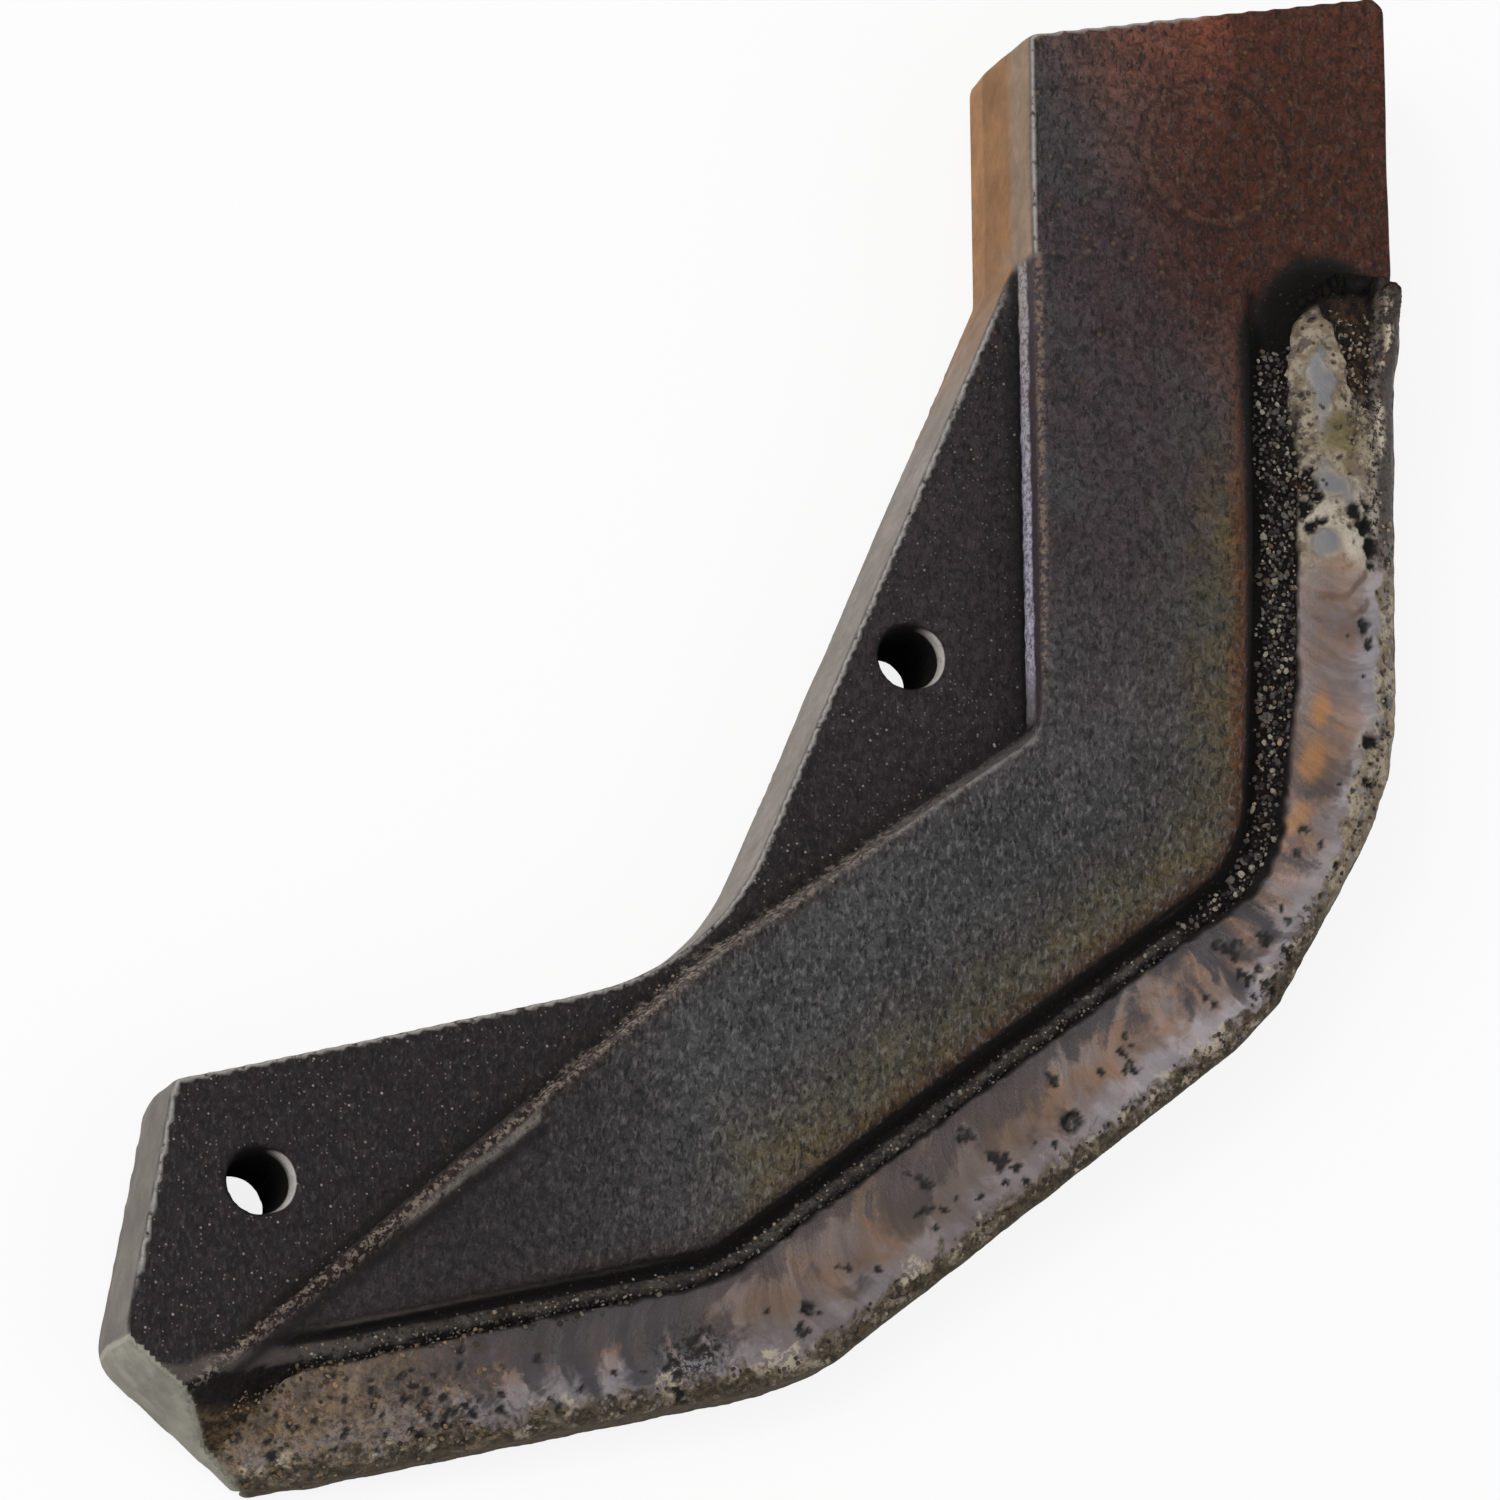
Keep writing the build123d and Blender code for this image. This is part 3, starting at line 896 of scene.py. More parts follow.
    drip = drip * step(noise(0.35, 3.0, 0.6), 0.42, 0.52)
    metal = mix(drip, metal, shade(settings.crust, 1.05))
    metal = mix(lip, metal, srgb(128, 122, 104))

    # Slag and pores, and painted shade along the bead's inner edge, in the toe's pocket and in creases
    metal = mix(slag, metal, shade(settings.soot_and_shade, step(noise(1.0, 4.0, 0.7), 0.45, 0.65, 0.6, 3.0)))
    metal = mix(crater * step(noise(0.45, 4.0, 0.65, 0.5), 0.42, 0.6), metal, srgb(84, 60, 40))
    metal = mix(crater * step(noise(0.8, 3.0, 0.6, 0.8), 0.6, 0.66), metal, shade(settings.crust, 0.85))
    metal = mix(spatter * step(noise(1.2, 4.0, 0.75), 0.48, 0.56), metal, shade(settings.soot_and_shade, 1.6))
    # Black in the pores, and painted shade in creases
    dark = larger(pit, step(hollow, 0.01, 0.05) * 0.8)
    metal = mix(dark, metal, settings.soot_and_shade)

    normal = bump(streak, 0.2 * MM)
    normal = bump(fine, 0.1 * MM, normal)
    rough_places = larger(crust_share, larger(slag, side))
    rough_places = rough_places * step(puddle, 0.7, 0.3)
    crumb = noise(1.5, 5.0, 0.72) * rough_places
    normal = bump(crumb, 0.9 * MM, normal)
    roughness = larger(step(rough_places, 0.0, 0.8, 0.36, 0.72), slag)
    return build.finish(metal, roughness, normal, 0.2, 0.45)


def crumb_scale(settings):
    """Crumbs of slag, each with its own tone."""
    build = NodeBuilder(bpy.data.materials.new("Slag crumbs"))
    build.measure()
    mix, shade, step, noise, bump = build.mix, build.shade, build.step, build.noise, build.bump
    tone, warm = build.attributes("tone warm")
    colour = mix(step(tone, 0.0, 0.6), settings.black, settings.grey)
    colour = mix(step(tone, 0.6, 1.0), colour, settings.pale)
    colour = mix(warm, colour, shade(srgb(170, 132, 92), step(tone, 0.0, 1.0, 0.35, 1.25)))
    fine = noise(2.8, 4.0, 0.7)
    colour = shade(colour, step(fine, 0.3, 0.7, 0.7, 1.25))
    return build.finish(colour, 0.6, bump(fine, 0.25 * MM), 0.0, 0.4)


def set_material(piece, material):
    piece.data.materials.clear()
    piece.data.materials.append(material)


# Pieces


class COULTER_OT_body(bpy.types.Operator):
    """Rounds the forged edges, roughens the faces and lays on the scale"""

    bl_idname = "coulter.body"
    bl_label = "Forged body"

    def execute(self, context):
        settings = context.scene.coulter_body
        piece = piece_from_node("forged_body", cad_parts["coulter_body"])
        remesh(piece, settings.mesh_size)
        soften(piece, settings.softening)
        self.shape(piece, settings)
        self.mark(piece)
        only(piece)
        bpy.ops.object.shade_smooth()
        set_material(piece, forging_scale(settings))
        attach(piece, "root")
        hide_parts("coulter_body")
        return {"FINISHED"}

    def crest_distance(self, points):
        """Distance from the crest of the ridge, which leans back from the pad's wall."""
        return side_of_line(points, WALL_FOOT) + np.clip(points[:, 2] - PAD_HEIGHT, 0.0, 8.0) * RIDGE_LEAN

    def shape(self, piece, settings):
        """Waves of the forged faces, the plain ring, the groove, the ledge and the slag beside the weld."""
        points = points_of(piece)
        normals = normals_of(piece)
        run, _, groove, _ = weld_coordinates(points)
        front = smooth_step(normals[:, 2], 0.3, 0.8)
        lift = (cloud(points, 16.0, 1) + 0.5 * cloud(points, 5.0, 2)) * settings.wave_height / MM
        radius = np.hypot(points[:, 0] - RING_CENTRE[0], points[:, 1] - RING_CENTRE[1])
        ring = bell(radius, settings.ring_radius / MM, 0.6)
        lift += ring * settings.ring_height / MM * front

        along = smooth_step(run, 2.0, 9.0) * fade(run, 256.0, 266.0)
        channel = bell(groove, -0.8, 0.9) * along
        lift -= channel * settings.groove_depth / MM
        rough = cloud(points, 1.6, 3) + 0.5 * cloud(points, 0.9, 6)
        slag = smooth_step(groove, -7.0, -6.0) * fade(groove, -1.6, -0.9) * smooth_step(run, 5.0, 11.0)
        slag *= fade(run, 100.0, 116.0)
        lift += slag * front * (0.15 + rough) * settings.slag_height / MM
        ledge = bell(groove, -2.0, 0.9) * smooth_step(run, 98.0, 114.0) * along
        lift += ledge * front * (0.9 + 0.25 * rough)

        crest = bell(self.crest_distance(points), 0.0, 0.9) * smooth_step(-points[:, 1], 14.0, 40.0) * front
        lift += crest * np.clip(0.1 + cloud(points, 1.5, 4), 0.0, 1.0) * 0.55
        step = (np.abs(points[:, 0] - 15.9) < 1.6) & (normals[:, 0] < -0.5)
        step &= (points[:, 1] > -9.0) & (points[:, 1] < 57.0)
        lift += step * bell(points[:, 2], 20.2, 1.1) * (0.45 + 0.5 * cloud(points, 1.4, 5))
        raised = smooth_step(points[:, 2], 0.4, 1.2)
        move_points(piece, points + normals * (lift * raised)[:, None])

    def mark(self, piece):
        """Stores where each finish lies on the body."""
        points = points_of(piece)
        normals = normals_of(piece)
        edges = edges_of(piece)
        run, inward, groove, _ = weld_coordinates(points)
        wall_line = side_of_line(points, WALL_FOOT)
        x, y, z = points.T
        steep = spread(normals[:, 2], edges, 2)
        upright = fade(steep, 0.22, 0.5)
        near_wall = bell(wall_line, 0.0, 2.4) * smooth_step(z, 16.0, 17.4) * fade(y, 56.0, 57.6)
        holes = np.min([np.hypot(x - centre[0], y - centre[1]) for centre in BOLT_HOLES], axis=0)
        in_hole = fade(holes, 4.9, 5.3)
        outside = upright * (1 - near_wall) * (1 - in_hole) * smooth_step(inward, 3.0, 6.0)
        outside = np.maximum(outside, upright * fade(run, -3.0, -1.0))
        beyond = past_toe(points)
        toe_end = smooth_step(beyond, -1.6, -0.8) * fade(normals[:, 2], 0.3, 0.6)
        toe_end = np.maximum(toe_end, smooth_step(beyond, -1.1, -0.6))
        store(
            piece,
            run=run,
            groove=groove,
            pad=smooth_step(wall_line, -0.2, 0.6) * (1 - upright) * (z < 18.5),
            wall=outside,
        )
        arris = band(steep, 0.46, 0.80, 0.08) * (1 - near_wall) * smooth_step(holes, 5.6, 6.4)
        store(piece, rear_edge=arris * smooth_step(inward, 26.0, 30.0) * smooth_step(z, 14.0, 15.5))
        facing = smooth_step(-normals[:, 0], 0.35, 0.6) * near_wall * smooth_step(y, -10.5, -8.0)
        store(piece, step_wall=facing)
        step_edge = bell(x, 16.6, 0.5) * smooth_step(z, 23.6, 24.4) * smooth_step(y, -11.0, -8.0)
        store(piece, step_edge=step_edge * fade(y, 55.0, 60.0))
        crest = self.crest_distance(points)
        low = smooth_step(-y, 10.0, 36.0)
        rib = np.abs(side_of_line(points, RIB_LINE))
        store(
            piece,
            ridge=np.maximum(bell(crest, 0.0, 1.6), bell(rib, 0.0, 1.4)) * low,
            crest=np.maximum(bell(crest, 0.0, 0.6), 0.8 * bell(rib, 0.0, 0.5)) * low,
        )
        beside_rib = bell(side_of_line(points, RIB_LINE), -1.7, 0.8)
        store(piece, rib_shade=beside_rib * (x < -52.5) * (x > -96.0), toe_end=toe_end)
        # Slag beside the groove along the shank, and painted shade in the crevice between the ledge and the
        # bead further down
        sides = smooth_step(groove, -7.2, -6.4) * fade(groove, -0.9, -0.1) * (z > 8.0)
        slag = sides * smooth_step(run, 5.0, 10.0) * fade(run, 102.0, 116.0)
        ragged = groove + 0.9 * cloud(points, 3.4, 7) + 0.5 * cloud(points, 1.3, 9)
        crevice_shade = band(ragged, -20.0, -2.8, 0.4) * smooth_step(run, 100.0, 112.0)
        store(
            piece,
            slag=np.maximum(slag, crevice_shade * (1 - toe_end)),
            ledge=band(ragged, -3.9, -0.8, 0.45) * smooth_step(run, 100.0, 114.0) * (z > 6.0),
        )
        scorch = np.sqrt(((run - 9.0) / 13.0) ** 2 + ((inward - 11.5) / 11.0) ** 2)
        scorch = fade(scorch + 0.12 * cloud(points, 3.0, 8), 0.55, 1.12)
        scorch = np.maximum(scorch, 0.9 * band(inward, 1.0, 16.0, 2.0) * band(run, 1.0, 9.0, 2.0))
        store(piece, scorch=scorch * (normals[:, 2] > 0.2) * fade(run, 14.0, 20.0))
        # Painted shadow along the groove's channel, painted shade inside the bolt holes, and the hollows
        # that get painted shade
        widths = np.interp(run, CHANNEL_RUNS, CHANNEL_WIDTHS)
        channel = bell(groove, -0.1, widths) * smooth_step(run, 2.0, 12.0) * (z > 6.0)
        store(
            piece,
            channel=channel * fade(run, 262.0, 272.0),
            bore=fade(holes, 4.5, 4.9) * (z < 16.9),
            hollow=hollows(piece, 2),
        )


class COULTER_OT_weld(bpy.types.Operator):
    """Lays the hardfacing bead with its ripples, pores, crust and slag"""

    bl_idname = "coulter.weld"
    bl_label = "Hardfacing"

    def execute(self, context):
        settings = context.scene.coulter_weld
        piece = piece_from_node("hardfacing_bead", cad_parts["hardfacing_weld"])
        remesh(piece, settings.mesh_size)
        soften(piece, settings.softening)
        self.shape(piece, settings)
        only(piece)
        bpy.ops.object.shade_smooth()
        set_material(piece, weld_metal(settings))
        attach(piece, "root")
        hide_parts("hardfacing_weld")
        return {"FINISHED"}

    def shape(self, piece, settings):
        """Swell, ripples, crust, the top of the weld, the toe and the pores, and where each finish lies."""
        points = self.spread_ends(points_of(piece))
        normals = normals_of(piece)
        run, inward, _, bead = weld_coordinates(points)
        front = smooth_step(normals[:, 2], 0.1, 0.6)
        outer = fade(inward, -0.6, 0.9) * fade(normals[:, 2], 0.2, 0.7)
        rough = cloud(points, 1.4, 15) + 0.5 * cloud(points, 0.8, 16)

        swell = cloud(points, 13.0, 11) + 0.4 * cloud(points, 5.0, 12)
        lift = front * swell * settings.lump_height / MM
        bow = 3.4 * ((inward - 7.0) / 7.0) ** 2
        phase = (run + bow + 1.6 * cloud(points, 9.0, 13)) / (settings.ripple_spacing / MM)
        wave = np.abs((phase % 1.0) - 0.5) * 2 - 0.5
        strength = band(inward, 2.0, 12.5, 2.0) * smooth_step(cloud(points, 22.0, 14), -0.25, 0.3)
        lift += front * wave * strength * settings.ripple_height / MM * 2

        # Smooth puddles in the crust of the weld's top
        bent_run = run + 1.6 * cloud(points, 3.2, 24)
        bent_inward = inward + 1.1 * cloud(points, 2.6, 25) + 0.5 * cloud(points, 1.1, 26)
        slanted_run = bent_run + 0.5 * (bent_inward - 9.6)
        puddles = (
            1.1 * hill(bent_run, bent_inward, (16.5, 11.6), (6.0, 1.5)),
            1.2 * hill(slanted_run, bent_inward, (30.3, 9.6), (2.2, 2.7)),
            1.5 * hill(run, inward, (38.8, 10.9), (1.8, 1.8)),
        )
        puddle = np.max(puddles, axis=0)
        off_puddle = 1 - np.clip(puddle, 0.0, 1.0)
        moss = 1.3 * hill(run, inward, MOSS_CENTRE, (3.6, 3.6)) + 0.5 * cloud(points, 2.5, 18)
        moss = np.clip(moss, 0.0, 1.0) * (hill(run, inward, MOSS_CENTRE, (5.5, 4.6)) > 0.35)

        ragged = inward + 1.6 * cloud(points, 2.6, 19) + 0.9 * cloud(points, 7.0, 20)
        top_share = fade(run + 5.0 * cloud(points, 5.0, 21), 37.0, 43.0)
        rim_reach = np.interp(run, RIM_RUNS, RIM_REACHES)
        crust = fade(ragged, rim_reach - 0.7, rim_reach + 0.7) * front * smooth_step(run, 36.0, 46.0)
        crust = np.maximum(crust, top_share * front * off_puddle)
        strip = fade(inward + 0.8 * cloud(points, 2.4, 27), 2.0, 3.2)
        strip *= fade(run + 6.0 * cloud(points, 4.0, 28), 34.0, 44.0)
        crust *= 1 - strip
        arcs = np.hypot(run - 36.5, 1.5 * (inward - 10.4)) + 1.1 * cloud(points, 3.4, 29)
        arcs = (0.5 + 0.5 * np.cos(arcs * 2 * np.pi / 3.4)) ** 2 * (0.6 + cloud(points, 4.0, 33))
        arcs *= band(run, 41.0, 50.0, 1.5) * band(inward, 4.0, 13.0, 1.0)
        away = smooth_step(inward, -0.9, 1.0)
        lift += crust * rough * (0.35 + 0.65 * away) * settings.crust_height / MM * off_puddle
        lift += outer * (0.4 * cloud(points, 3.4, 17) + rough * 0.12) * settings.crust_height / MM

        # Top of the weld: a lobe of the bead, a crater beside it and a lobe that laps over the edge
        lobe = np.sqrt(((run - 17.0) / 11.5) ** 2 + ((inward - 11.5 + 0.10 * (run - 17.0)) / 4.5) ** 2)
        lobe += 0.14 * cloud(points, 1.8, 22)
        off_lobe = smooth_step(lobe, 0.92, 1.12) * fade(run, 15.5, 18.5) * smooth_step(inward, 2.0, 3.2)
        crater = smooth_step(lobe, 0.92, 1.15) * band(inward, 2.6, 9.5, 1.0) * fade(run, 17.0, 22.0)
        lift -= front * 1.5 * np.maximum(off_lobe, crater * 0.8)
        lift += front * 0.9 * fade(lobe, 0.2, 1.0) * fade(run, 17.0, 26.0)
        lap = hill(run, inward, (7.5, -0.8), (4.6, 2.4))
        lift += lap * 0.75 * smooth_step(points[:, 2], 8.0, 16.0)
        lift -= front * fade(run, 0.8, 3.0) * smooth_step(inward, 0.5, 2.0) * 1.5

        # Toe: the bead stops short of the inner corner, and a pocket opens there, darkened with painted
        # shade
        pocket = 1.2 * hill(run, bead, (276.0, -1.0), (7.0, 2.6))
        crack = hill(run, bead + 0.4 * cloud(points, 2.0, 30), (259.0, 0.0), (16.0, 0.8))
        pocket = np.maximum(pocket, crack)
        lift -= front * 1.6 * np.clip(pocket, 0.0, 1.0)

        pit, depth = self.pores(points, run, inward, settings)
        lift -= front * depth
        moved = points + normals * lift[:, None]
        move_points(piece, self.round_top(moved))

        store(
            piece,
            run=run,
            inward=inward,
            bead=bead,
            flow=run + bow,
            pit=pit * front,
            crust=np.clip(crust, 0.0, 1.0),
            puddle=np.clip(puddle, 0.0, 1.0) * front * (1 - off_lobe),
            moss=moss * front,
            side=np.clip(outer * 1.2, 0.0, 1.0),
            strip=strip * (1 - off_lobe) * smooth_step(inward, -1.2, -0.2),
            arcs=arcs * front,
        )
        drip = bell(inward - 0.06 * (run - 10.0) + 1.1 * cloud(points, 4.0, 31), 1.4, 0.6)
        drip *= band(run, 2.5, 12.0, 1.0) + band(run, 17.0, 25.0, 1.5)
        store(piece, drip=drip * front)
        store(piece, hot=hills(run, inward, HOT_SPOTS), lip=smooth_step(past_toe(points), -1.2, -0.6))
        # Black along the bead's inner edge and in the toe's pocket is painted shade; the black round the
        # top of the weld is slag
        slag = smooth_step(bead + 0.5 * cloud(points, 2.0, 23), -1.3, -0.5) * smooth_step(run, 16.0, 24.0)
        slag = np.maximum(slag, np.maximum(off_lobe, crater * smooth_step(rough, 0.35, -0.1)))
        slag = np.maximum(slag, np.clip(1.3 * pocket, 0.0, 1.0))
        crater = np.clip(np.maximum(off_lobe * (inward < 11.0), crater), 0.0, 1.0)
        store(piece, slag=slag, crater=crater * smooth_step(run, 2.0, 6.0))
        net = np.clip(1.5 * hills(run, inward, NET_PATCHES), 0.0, 1.0)
        store(piece, net=net * front * off_puddle)
        patch = hill(run, inward, (208.0, 5.0), (5.5, 3.6))
        mottled = 0.5 * smooth_step(run, 228.0, 246.0) * fade(inward, 8.0, 13.0)
        speckled = top_share * fade(inward, 3.0, 6.0) * off_puddle
        store(
            piece,
            spatter=np.clip(np.maximum(np.maximum(1.3 * patch, mottled), speckled) * front, 0.0, 1.0),
            hollow=hollows(piece, 1),
        )

    def spread_ends(self, points):
        """Widens the lobe at the weld's top over the ledge, and fills some of the toe's hollow."""
        run, _, _, bead = weld_coordinates(points)
        lobe = smooth_step(bead, -4.0, -0.5) * fade(run, 22.0, 32.0) * smooth_step(points[:, 2], 16.0, 20.0)
        points[:, 0] -= 1.3 * lobe
        inner = np.interp(run, (262.0, 275.0), (-0.5, -6.5))
        fill = 1.5 * smooth_step(bead, inner - 6.0, inner) * smooth_step(run, 260.0, 272.0)
        along = unit(np.array(GROOVE_CORNERS[2][0]) - np.array(GROOVE_CORNERS[3][0]))
        points[:, 0] -= 3.0 * fill * along[1]
        points[:, 1] += 3.0 * fill * along[0]
        return points

    def round_top(self, points):
        """Rounds the top corner of the weld, where it laps over the leading edge."""
        run, inward = line_coordinates(points, EDGE_CORNERS)
        radius = 3.6
        centre_run = radius + 0.4
        centre_inward = radius - 1.5
        gap = np.hypot(run - centre_run, inward - centre_inward)
        past = (run < centre_run) & (inward < centre_inward) & (gap > radius)
        shrink = radius / gap[past]
        edge_x = EDGE_CORNERS[0][0][0]
        points[past, 0] = edge_x - centre_inward - (inward[past] - centre_inward) * shrink
        points[past, 1] = WELD_TOP_Y - centre_run - (run[past] - centre_run) * shrink
        return points

    def pores(self, points, run, inward, settings):
        """Single pores, clusters of small ones, and a thin scatter towards the rim."""
        run = run + 0.55 * cloud(points, 1.3, 34)
        inward = inward + 0.55 * cloud(points, 1.3, 35)
        draw = np.random.default_rng(7)
        places = list(SINGLE_PORES)
        for centre_run, centre_inward, reach, count in PORE_CLUSTERS:
            for _ in range(count):
                shift = draw.normal(0.0, reach * 0.55, 2)
                places.append((centre_run + shift[0], centre_inward + shift[1], draw.uniform(0.3, 0.62)))
        count = settings.pit_count
        runs = draw.uniform(44.0, 272.0, count)
        inwards = draw.triangular(0.3, 2.0, 10.0, count)
        places += list(zip(runs, inwards, draw.uniform(0.28, 0.6, count)))
        runs = draw.uniform(226.0, 272.0, count)
        inwards = draw.uniform(1.0, 12.0, count)
        places += list(zip(runs, inwards, draw.uniform(0.3, 0.6, count)))
        mark = np.zeros(len(points))
        depth = np.zeros(len(points))
        for centre_run, centre_inward, radius in places:
            gap = np.hypot(run - centre_run, inward - centre_inward) / radius
            inside = np.clip(1.3 - gap, 0.0, 1.0)
            mark = np.maximum(mark, np.clip(inside * 3.0, 0.0, 1.0))
            depth = np.maximum(depth, inside * radius * 0.75)
        seat = np.hypot(run - LIT_PORE[0], inward - LIT_PORE[1])
        mark *= smooth_step(seat, 0.3, 0.7)
        return mark, depth


class COULTER_OT_crumbs(bpy.types.Operator):
    """Strews crumbs of slag along the weld and specks of scale along the ridge"""

    bl_idname = "coulter.crumbs"
    bl_label = "Slag crumbs"

    def execute(self, context):
        settings = context.scene.coulter_crumbs
        draw = np.random.default_rng(19)
        places = (
            self.slag_places(draw, settings)
            + self.ridge_places(draw, settings)
            + self.rim_places(draw, settings)
        )
        piece = self.strew(draw, places, settings)
        only(piece)
        set_material(piece, crumb_scale(settings))
        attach(piece, "root")
        return {"FINISHED"}

    def pick(self, draw, points, normals, weights, count):
        """Draws points by weight, and none where the weight is next to nothing."""
        weights = np.where(weights > 0.002, weights, 0.0)
        count = min(count, np.count_nonzero(weights))
        chosen = draw.choice(len(points), size=count, replace=False, p=weights / weights.sum())
        return points[chosen], normals[chosen]

    def slag_places(self, draw, settings):
        """Crumbs between the groove and the bead."""
        piece = bpy.data.objects["forged_body"]
        points = points_of(piece)
        normals = normals_of(piece)
        run, _, groove, _ = weld_coordinates(points)
        front = (normals[:, 2] > 0.5) & (points[:, 2] > 8.0)
        ragged_run = run + 4.0 * cloud(points, 4.0, 32)
        gritty = band(groove, -6.5, -1.3, 0.5) * fade(ragged_run, 94.0, 112.0)
        gritty *= smooth_step(ragged_run, 6.0, 30.0) ** 3
        joint = 0.1 * band(groove, -4.1, -3.1, 0.3) * smooth_step(run, 104.0, 116.0)
        strip = 0.012 * band(groove, -3.2, -1.3, 0.4) * smooth_step(run, 98.0, 116.0)
        toe = 0.35 * band(run, 266.0, 284.0, 2.0) * band(groove, -14.0, -6.0, 1.0)
        weights = (gritty + (joint + strip) * fade(run, 256.0, 264.0) + toe) * front
        spots, outward = self.pick(draw, points, normals, weights, settings.slag_count)
        place_run = line_coordinates(spots, EDGE_CORNERS)[0]
        tones = np.clip(draw.gamma(1.3, 0.31, len(spots)), 0.0, 1.0)
        sizes = 0.38 + draw.gamma(2.0, 0.18, len(spots)).clip(0.0, 1.0)
        sizes *= np.interp(place_run, (95.0, 112.0), (1.0, 0.65))
        warm = np.where(draw.random(len(spots)) < 0.05, 0.5, 0.0)
        warm = np.where(place_run > 262.0, draw.uniform(0.3, 1.0, len(spots)), warm)
        return list(zip(spots, outward, tones, sizes, warm))

    def ridge_places(self, draw, settings):
        """Pale specks along the crest of the ridge and along the rib."""
        piece = bpy.data.objects["forged_body"]
        points = points_of(piece)
        normals = normals_of(piece)
        crest = COULTER_OT_body.crest_distance(self, points)
        rib = np.abs(side_of_line(points, RIB_LINE))
        low = smooth_step(-points[:, 1], 16.0, 50.0) * (normals[:, 2] > 0.4)
        weights = (bell(crest, 0.0, 0.45) + 0.5 * bell(rib, 0.0, 0.4)) * low
        weights *= smooth_step(points[:, 0], -100.0, -92.0)
        spots, outward = self.pick(draw, points, normals, weights, settings.ridge_count)
        tones = draw.uniform(0.25, 0.8, len(spots))
        sizes = draw.uniform(0.3, 0.62, len(spots))
        warm = draw.uniform(0.0, 0.35, len(spots))
        return list(zip(spots, outward, tones, sizes, warm))

    def rim_places(self, draw, settings):
        """Crumbs on the crust of the weld: its rim, the crater at its top and the pocket at the toe."""
        piece = bpy.data.objects["hardfacing_bead"]
        points = points_of(piece)
        normals = normals_of(piece)
        run, inward, _, bead = weld_coordinates(points)
        front = normals[:, 2] > 0.1
        rim = 0.5 * band(inward, 0.2, 2.2, 0.5) * (run > 20.0)
        crater = 1.6 * band(inward, 3.0, 8.0, 0.6) * band(run, 8.0, 24.0, 2.0)
        holes = 2.4 * hill(run, inward, (26.0, 13.5), (7.0, 1.8))
        toe = 1.3 * band(run, 262.0, 280.0, 3.0) * band(bead, -7.5, 0.5, 0.8) + 0.2 * (run > 236.0)
        toe += 1.0 * band(run, 214.0, 262.0, 8.0) * band(bead, -1.8, 0.2, 0.3)
        weights = (rim + crater + holes + toe) * front
        spots, outward = self.pick(draw, points, normals, weights, settings.rim_count)
        place_run = line_coordinates(spots, EDGE_CORNERS)[0]
        tones = draw.uniform(0.0, 1.0, len(spots)) ** 1.6
        tones = np.where(place_run < 60.0, np.clip(tones + 0.25, 0.0, 1.0), tones * 0.75)
        sizes = draw.uniform(0.45, 1.0, len(spots))
        warm = np.where(place_run > 236.0, draw.uniform(0.0, 0.9, len(spots)), 0.15)
        return list(zip(spots, outward, tones, sizes, warm))

    def strew(self, draw, places, settings):
        """One mesh of all the crumbs, each a squashed and jittered copy of a small ball."""
        bpy.ops.object.select_all(action="DESELECT")
        bpy.ops.mesh.primitive_ico_sphere_add(subdivisions=1, radius=1.0, location=(0.0, 0.0, 0.0))
        piece = bpy.context.active_object
        piece.name = "slag_crumbs"
        piece.data.name = "slag_crumbs"
        ball = np.empty(len(piece.data.vertices) * 3)
        piece.data.vertices.foreach_get("co", ball)
        ball = ball.reshape(-1, 3)
        faces = np.array([face.vertices[:] for face in piece.data.polygons])
        all_points = []
        all_faces = []
        tones = []
        warms = []
        for index, (spot, outward, tone, size, warm) in enumerate(places):
            side = unit(np.cross(outward, draw.normal(size=3)))
            other = np.cross(outward, side)
            spot = spot + side * draw.uniform(-0.45, 0.45) + other * draw.uniform(-0.45, 0.45)
            radius = size * settings.size / MM
            stretch = draw.uniform(0.75, 1.3, 3) * np.array([1.0, 1.0, 0.75]) * radius
            lumpy = ball * draw.uniform(0.72, 1.28, len(ball))[:, None] * stretch
            turned = lumpy[:, :1] * side + lumpy[:, 1:2] * other + lumpy[:, 2:] * outward
            all_points.append(spot + outward * radius * 0.12 + turned)
            all_faces.append(faces + index * len(ball))
            tones += [tone] * len(ball)
            warms += [warm] * len(ball)
        mesh = bpy.data.meshes.new("slag_crumbs")
        mesh.from_pydata(
            (np.concatenate(all_points) * MM).tolist(), [], np.concatenate(all_faces).tolist()
        )
        piece.data = mesh
        store(piece, tone=np.array(tones), warm=np.array(warms))
        return piece


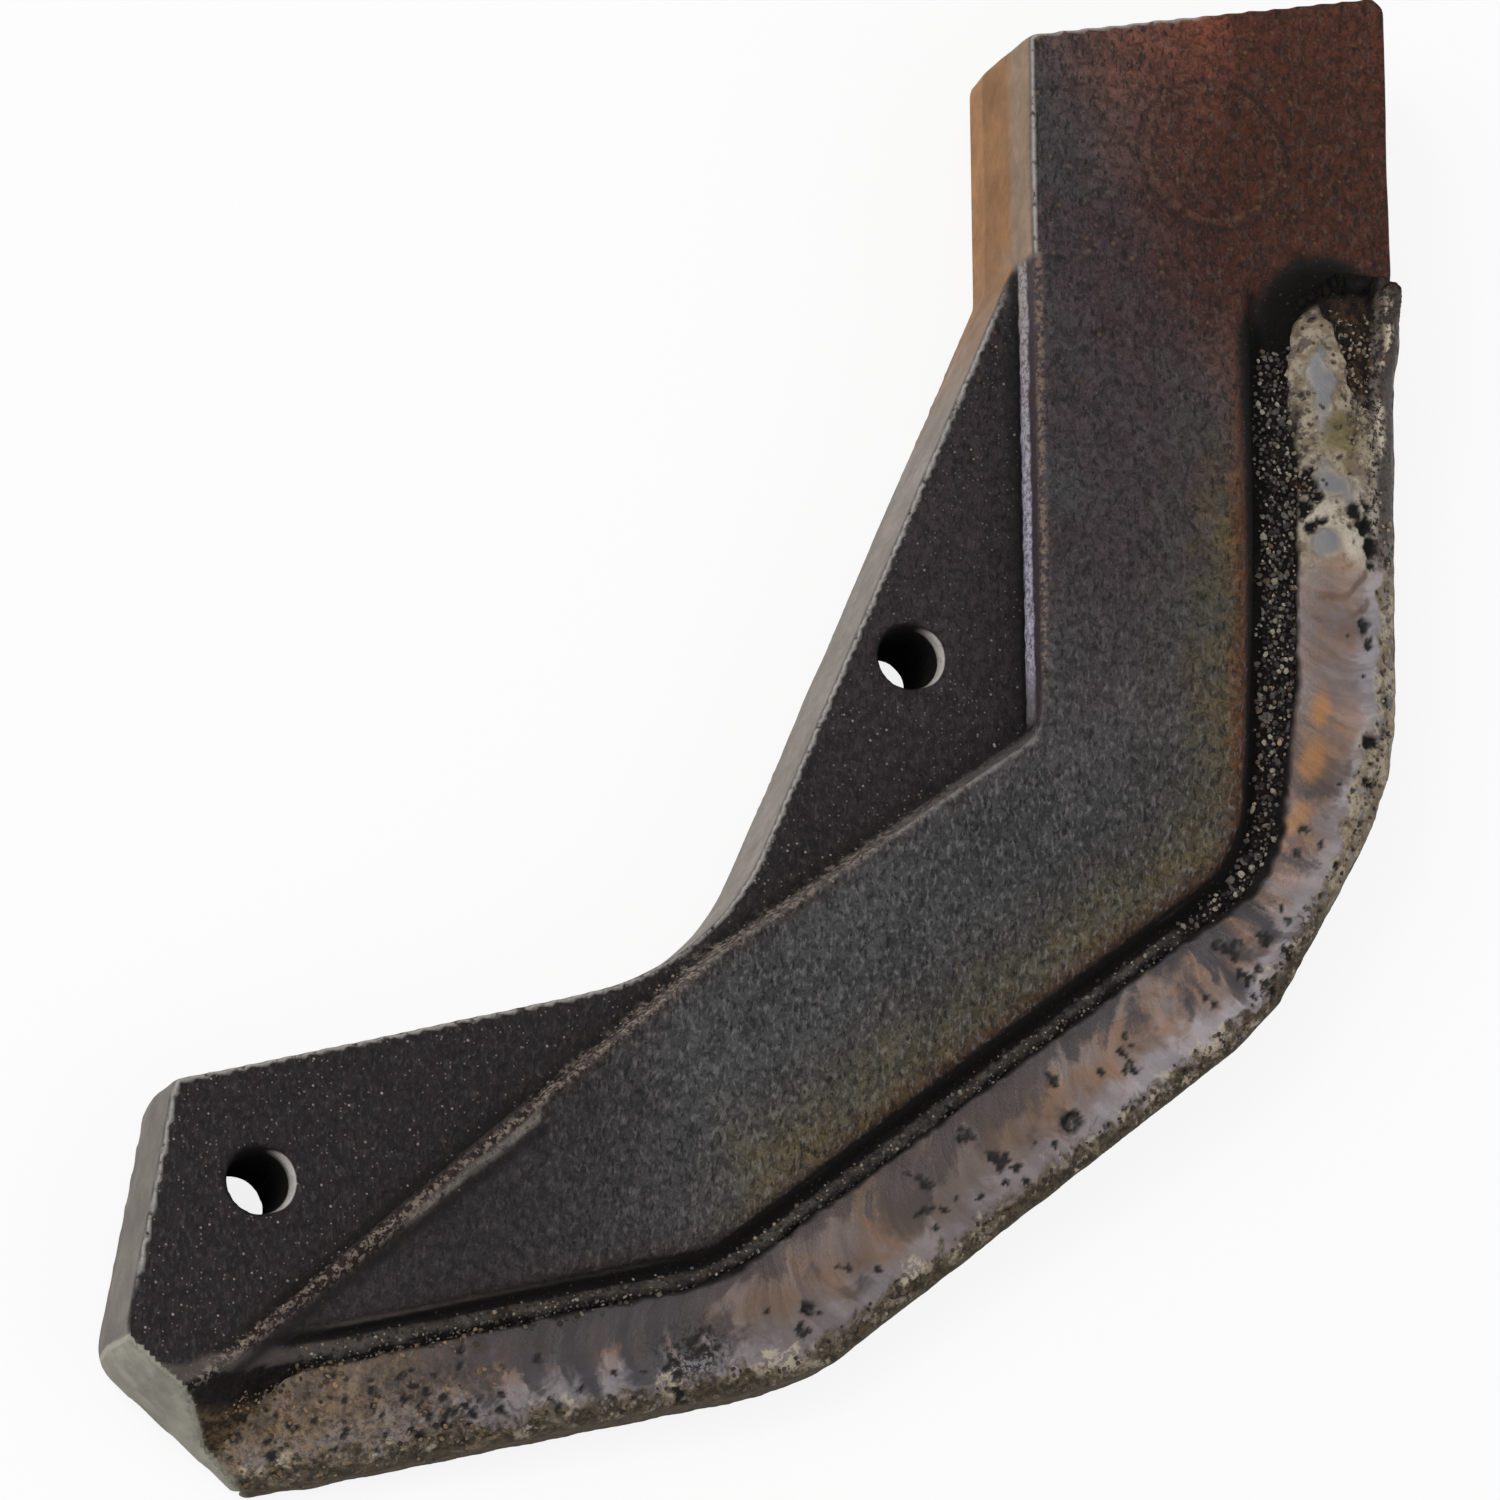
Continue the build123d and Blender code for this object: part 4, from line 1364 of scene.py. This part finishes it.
class COULTER_OT_stage(bpy.types.Operator):
    """Adds the floor, the light and the camera"""

    bl_idname = "coulter.stage"
    bl_label = "Stage"

    def execute(self, context):
        settings = context.scene.coulter_stage
        self.floor(settings)
        self.lights(settings)
        self.room(context.scene, settings)
        self.camera(context.scene, settings)
        context.scene.view_settings.view_transform = "Standard"
        return {"FINISHED"}

    def floor(self, settings):
        bpy.ops.object.select_all(action="DESELECT")
        bpy.ops.mesh.primitive_plane_add(size=settings.floor_size, location=(0.0, 0.0, 0.0))
        floor = bpy.context.active_object
        floor.name = "floor"
        floor.location.z = cad_box[0][2] - 0.05 * MM
        bpy.ops.object.transform_apply(location=True, rotation=True, scale=True)
        build = NodeBuilder(bpy.data.materials.new("Pale floor"))
        shader = build.add("BsdfPrincipled", Roughness=0.9)
        build.put(shader.inputs["Base Color"], (0.9, 0.9, 0.9))
        glow = build.add("Emission", Color=WHITE, Strength=1.0)
        ray = build.add("LightPath")
        share = Value(build, ray.outputs["Is Camera Ray"]) * 0.86
        mixer = build.add("MixShader", Fac=share)
        build.links.new(shader.outputs["BSDF"], mixer.inputs[1])
        build.links.new(glow.outputs["Emission"], mixer.inputs[2])
        output = build.add("OutputMaterial")
        build.links.new(mixer.outputs["Shader"], output.inputs["Surface"])
        set_material(floor, build.owner)

    def lights(self, settings):
        middle = Vector(LAMP_TARGET) * MM
        lamps = (
            ("key", settings.key_power, (-0.75, 0.35, 0.95), 0.7),
            ("fill", settings.fill_power, (0.9, -0.55, 1.0), 0.9),
        )
        for name, power, place, size in lamps:
            lamp = bpy.data.lights.new(name, "AREA")
            lamp.shape = "SQUARE"
            lamp.size = size
            lamp.energy = power
            item = bpy.data.objects.new(name, lamp)
            bpy.context.scene.collection.objects.link(item)
            item.location = place
            item.rotation_euler = (middle - Vector(place)).to_track_quat("-Z", "Y").to_euler()

    def room(self, scene, settings):
        scene.world = bpy.data.worlds.new("White room")
        build = NodeBuilder(scene.world)
        ray = build.add("LightPath")
        seen = larger(*[Value(build, ray.outputs[f"Is {kind} Ray"]) for kind in ("Camera", "Transmission")])
        mixer = build.add("MixShader", Fac=seen)
        for index, strength in enumerate((settings.room_light, 1.0), 1):
            white = build.add("Background", Color=WHITE, Strength=strength)
            build.links.new(white.outputs["Background"], mixer.inputs[index])
        output = build.add("OutputWorld")
        build.links.new(mixer.outputs["Shader"], output.inputs["Surface"])

    def camera(self, scene, settings):
        target = Vector(CAMERA_TARGET) * MM
        lean = sin(settings.tilt)
        offset = Vector(
            (-lean * cos(settings.azimuth), -lean * sin(settings.azimuth), cos(settings.tilt))
        )
        forward = -offset
        right = forward.cross(Vector((0.0, 1.0, 0.0))).normalized()
        up = right.cross(forward)
        turned_right = right * cos(settings.roll) + up * sin(settings.roll)
        turned_up = up * cos(settings.roll) - right * sin(settings.roll)
        view = bpy.data.cameras.new("camera")
        view.lens = settings.lens
        view.sensor_width = 36.0
        view.clip_start = 0.05
        camera = bpy.data.objects.new("camera", view)
        scene.collection.objects.link(camera)
        turn = Matrix((turned_right, turned_up, offset)).transposed()
        camera.matrix_world = Matrix.Translation(target + offset * settings.distance) @ turn.to_4x4()
        scene.camera = camera


class COULTER_PT_panel(bpy.types.Panel):
    """Lists the coulter's pieces and settings"""

    bl_idname = "COULTER_PT_panel"
    bl_label = "Sowing coulter"
    bl_space_type = "VIEW_3D"
    bl_region_type = "UI"
    bl_category = "Coulter"

    def draw(self, context):
        rows = (
            (COULTER_OT_body, context.scene.coulter_body),
            (COULTER_OT_weld, context.scene.coulter_weld),
            (COULTER_OT_crumbs, context.scene.coulter_crumbs),
            (COULTER_OT_stage, context.scene.coulter_stage),
        )
        for operator, settings in rows:
            box = self.layout.box()
            box.operator(operator.bl_idname)
            for name in settings.__annotations__:
                box.prop(settings, name)


CLASSES = (
    CoulterBodySettings,
    CoulterWeldSettings,
    CoulterCrumbSettings,
    CoulterStageSettings,
    COULTER_OT_body,
    COULTER_OT_weld,
    COULTER_OT_crumbs,
    COULTER_OT_stage,
    COULTER_PT_panel,
)


def register():
    for item in CLASSES:
        bpy.utils.register_class(item)
    bpy.types.Scene.coulter_body = bpy.props.PointerProperty(type=CoulterBodySettings)
    bpy.types.Scene.coulter_weld = bpy.props.PointerProperty(type=CoulterWeldSettings)
    bpy.types.Scene.coulter_crumbs = bpy.props.PointerProperty(type=CoulterCrumbSettings)
    bpy.types.Scene.coulter_stage = bpy.props.PointerProperty(type=CoulterStageSettings)


def unregister():
    del bpy.types.Scene.coulter_stage
    del bpy.types.Scene.coulter_crumbs
    del bpy.types.Scene.coulter_weld
    del bpy.types.Scene.coulter_body
    for item in reversed(CLASSES):
        bpy.utils.unregister_class(item)


def main():
    register()
    bpy.ops.coulter.body()
    bpy.ops.coulter.weld()
    bpy.ops.coulter.crumbs()
    bpy.ops.coulter.stage()


if __name__ == "__main__":
    main()
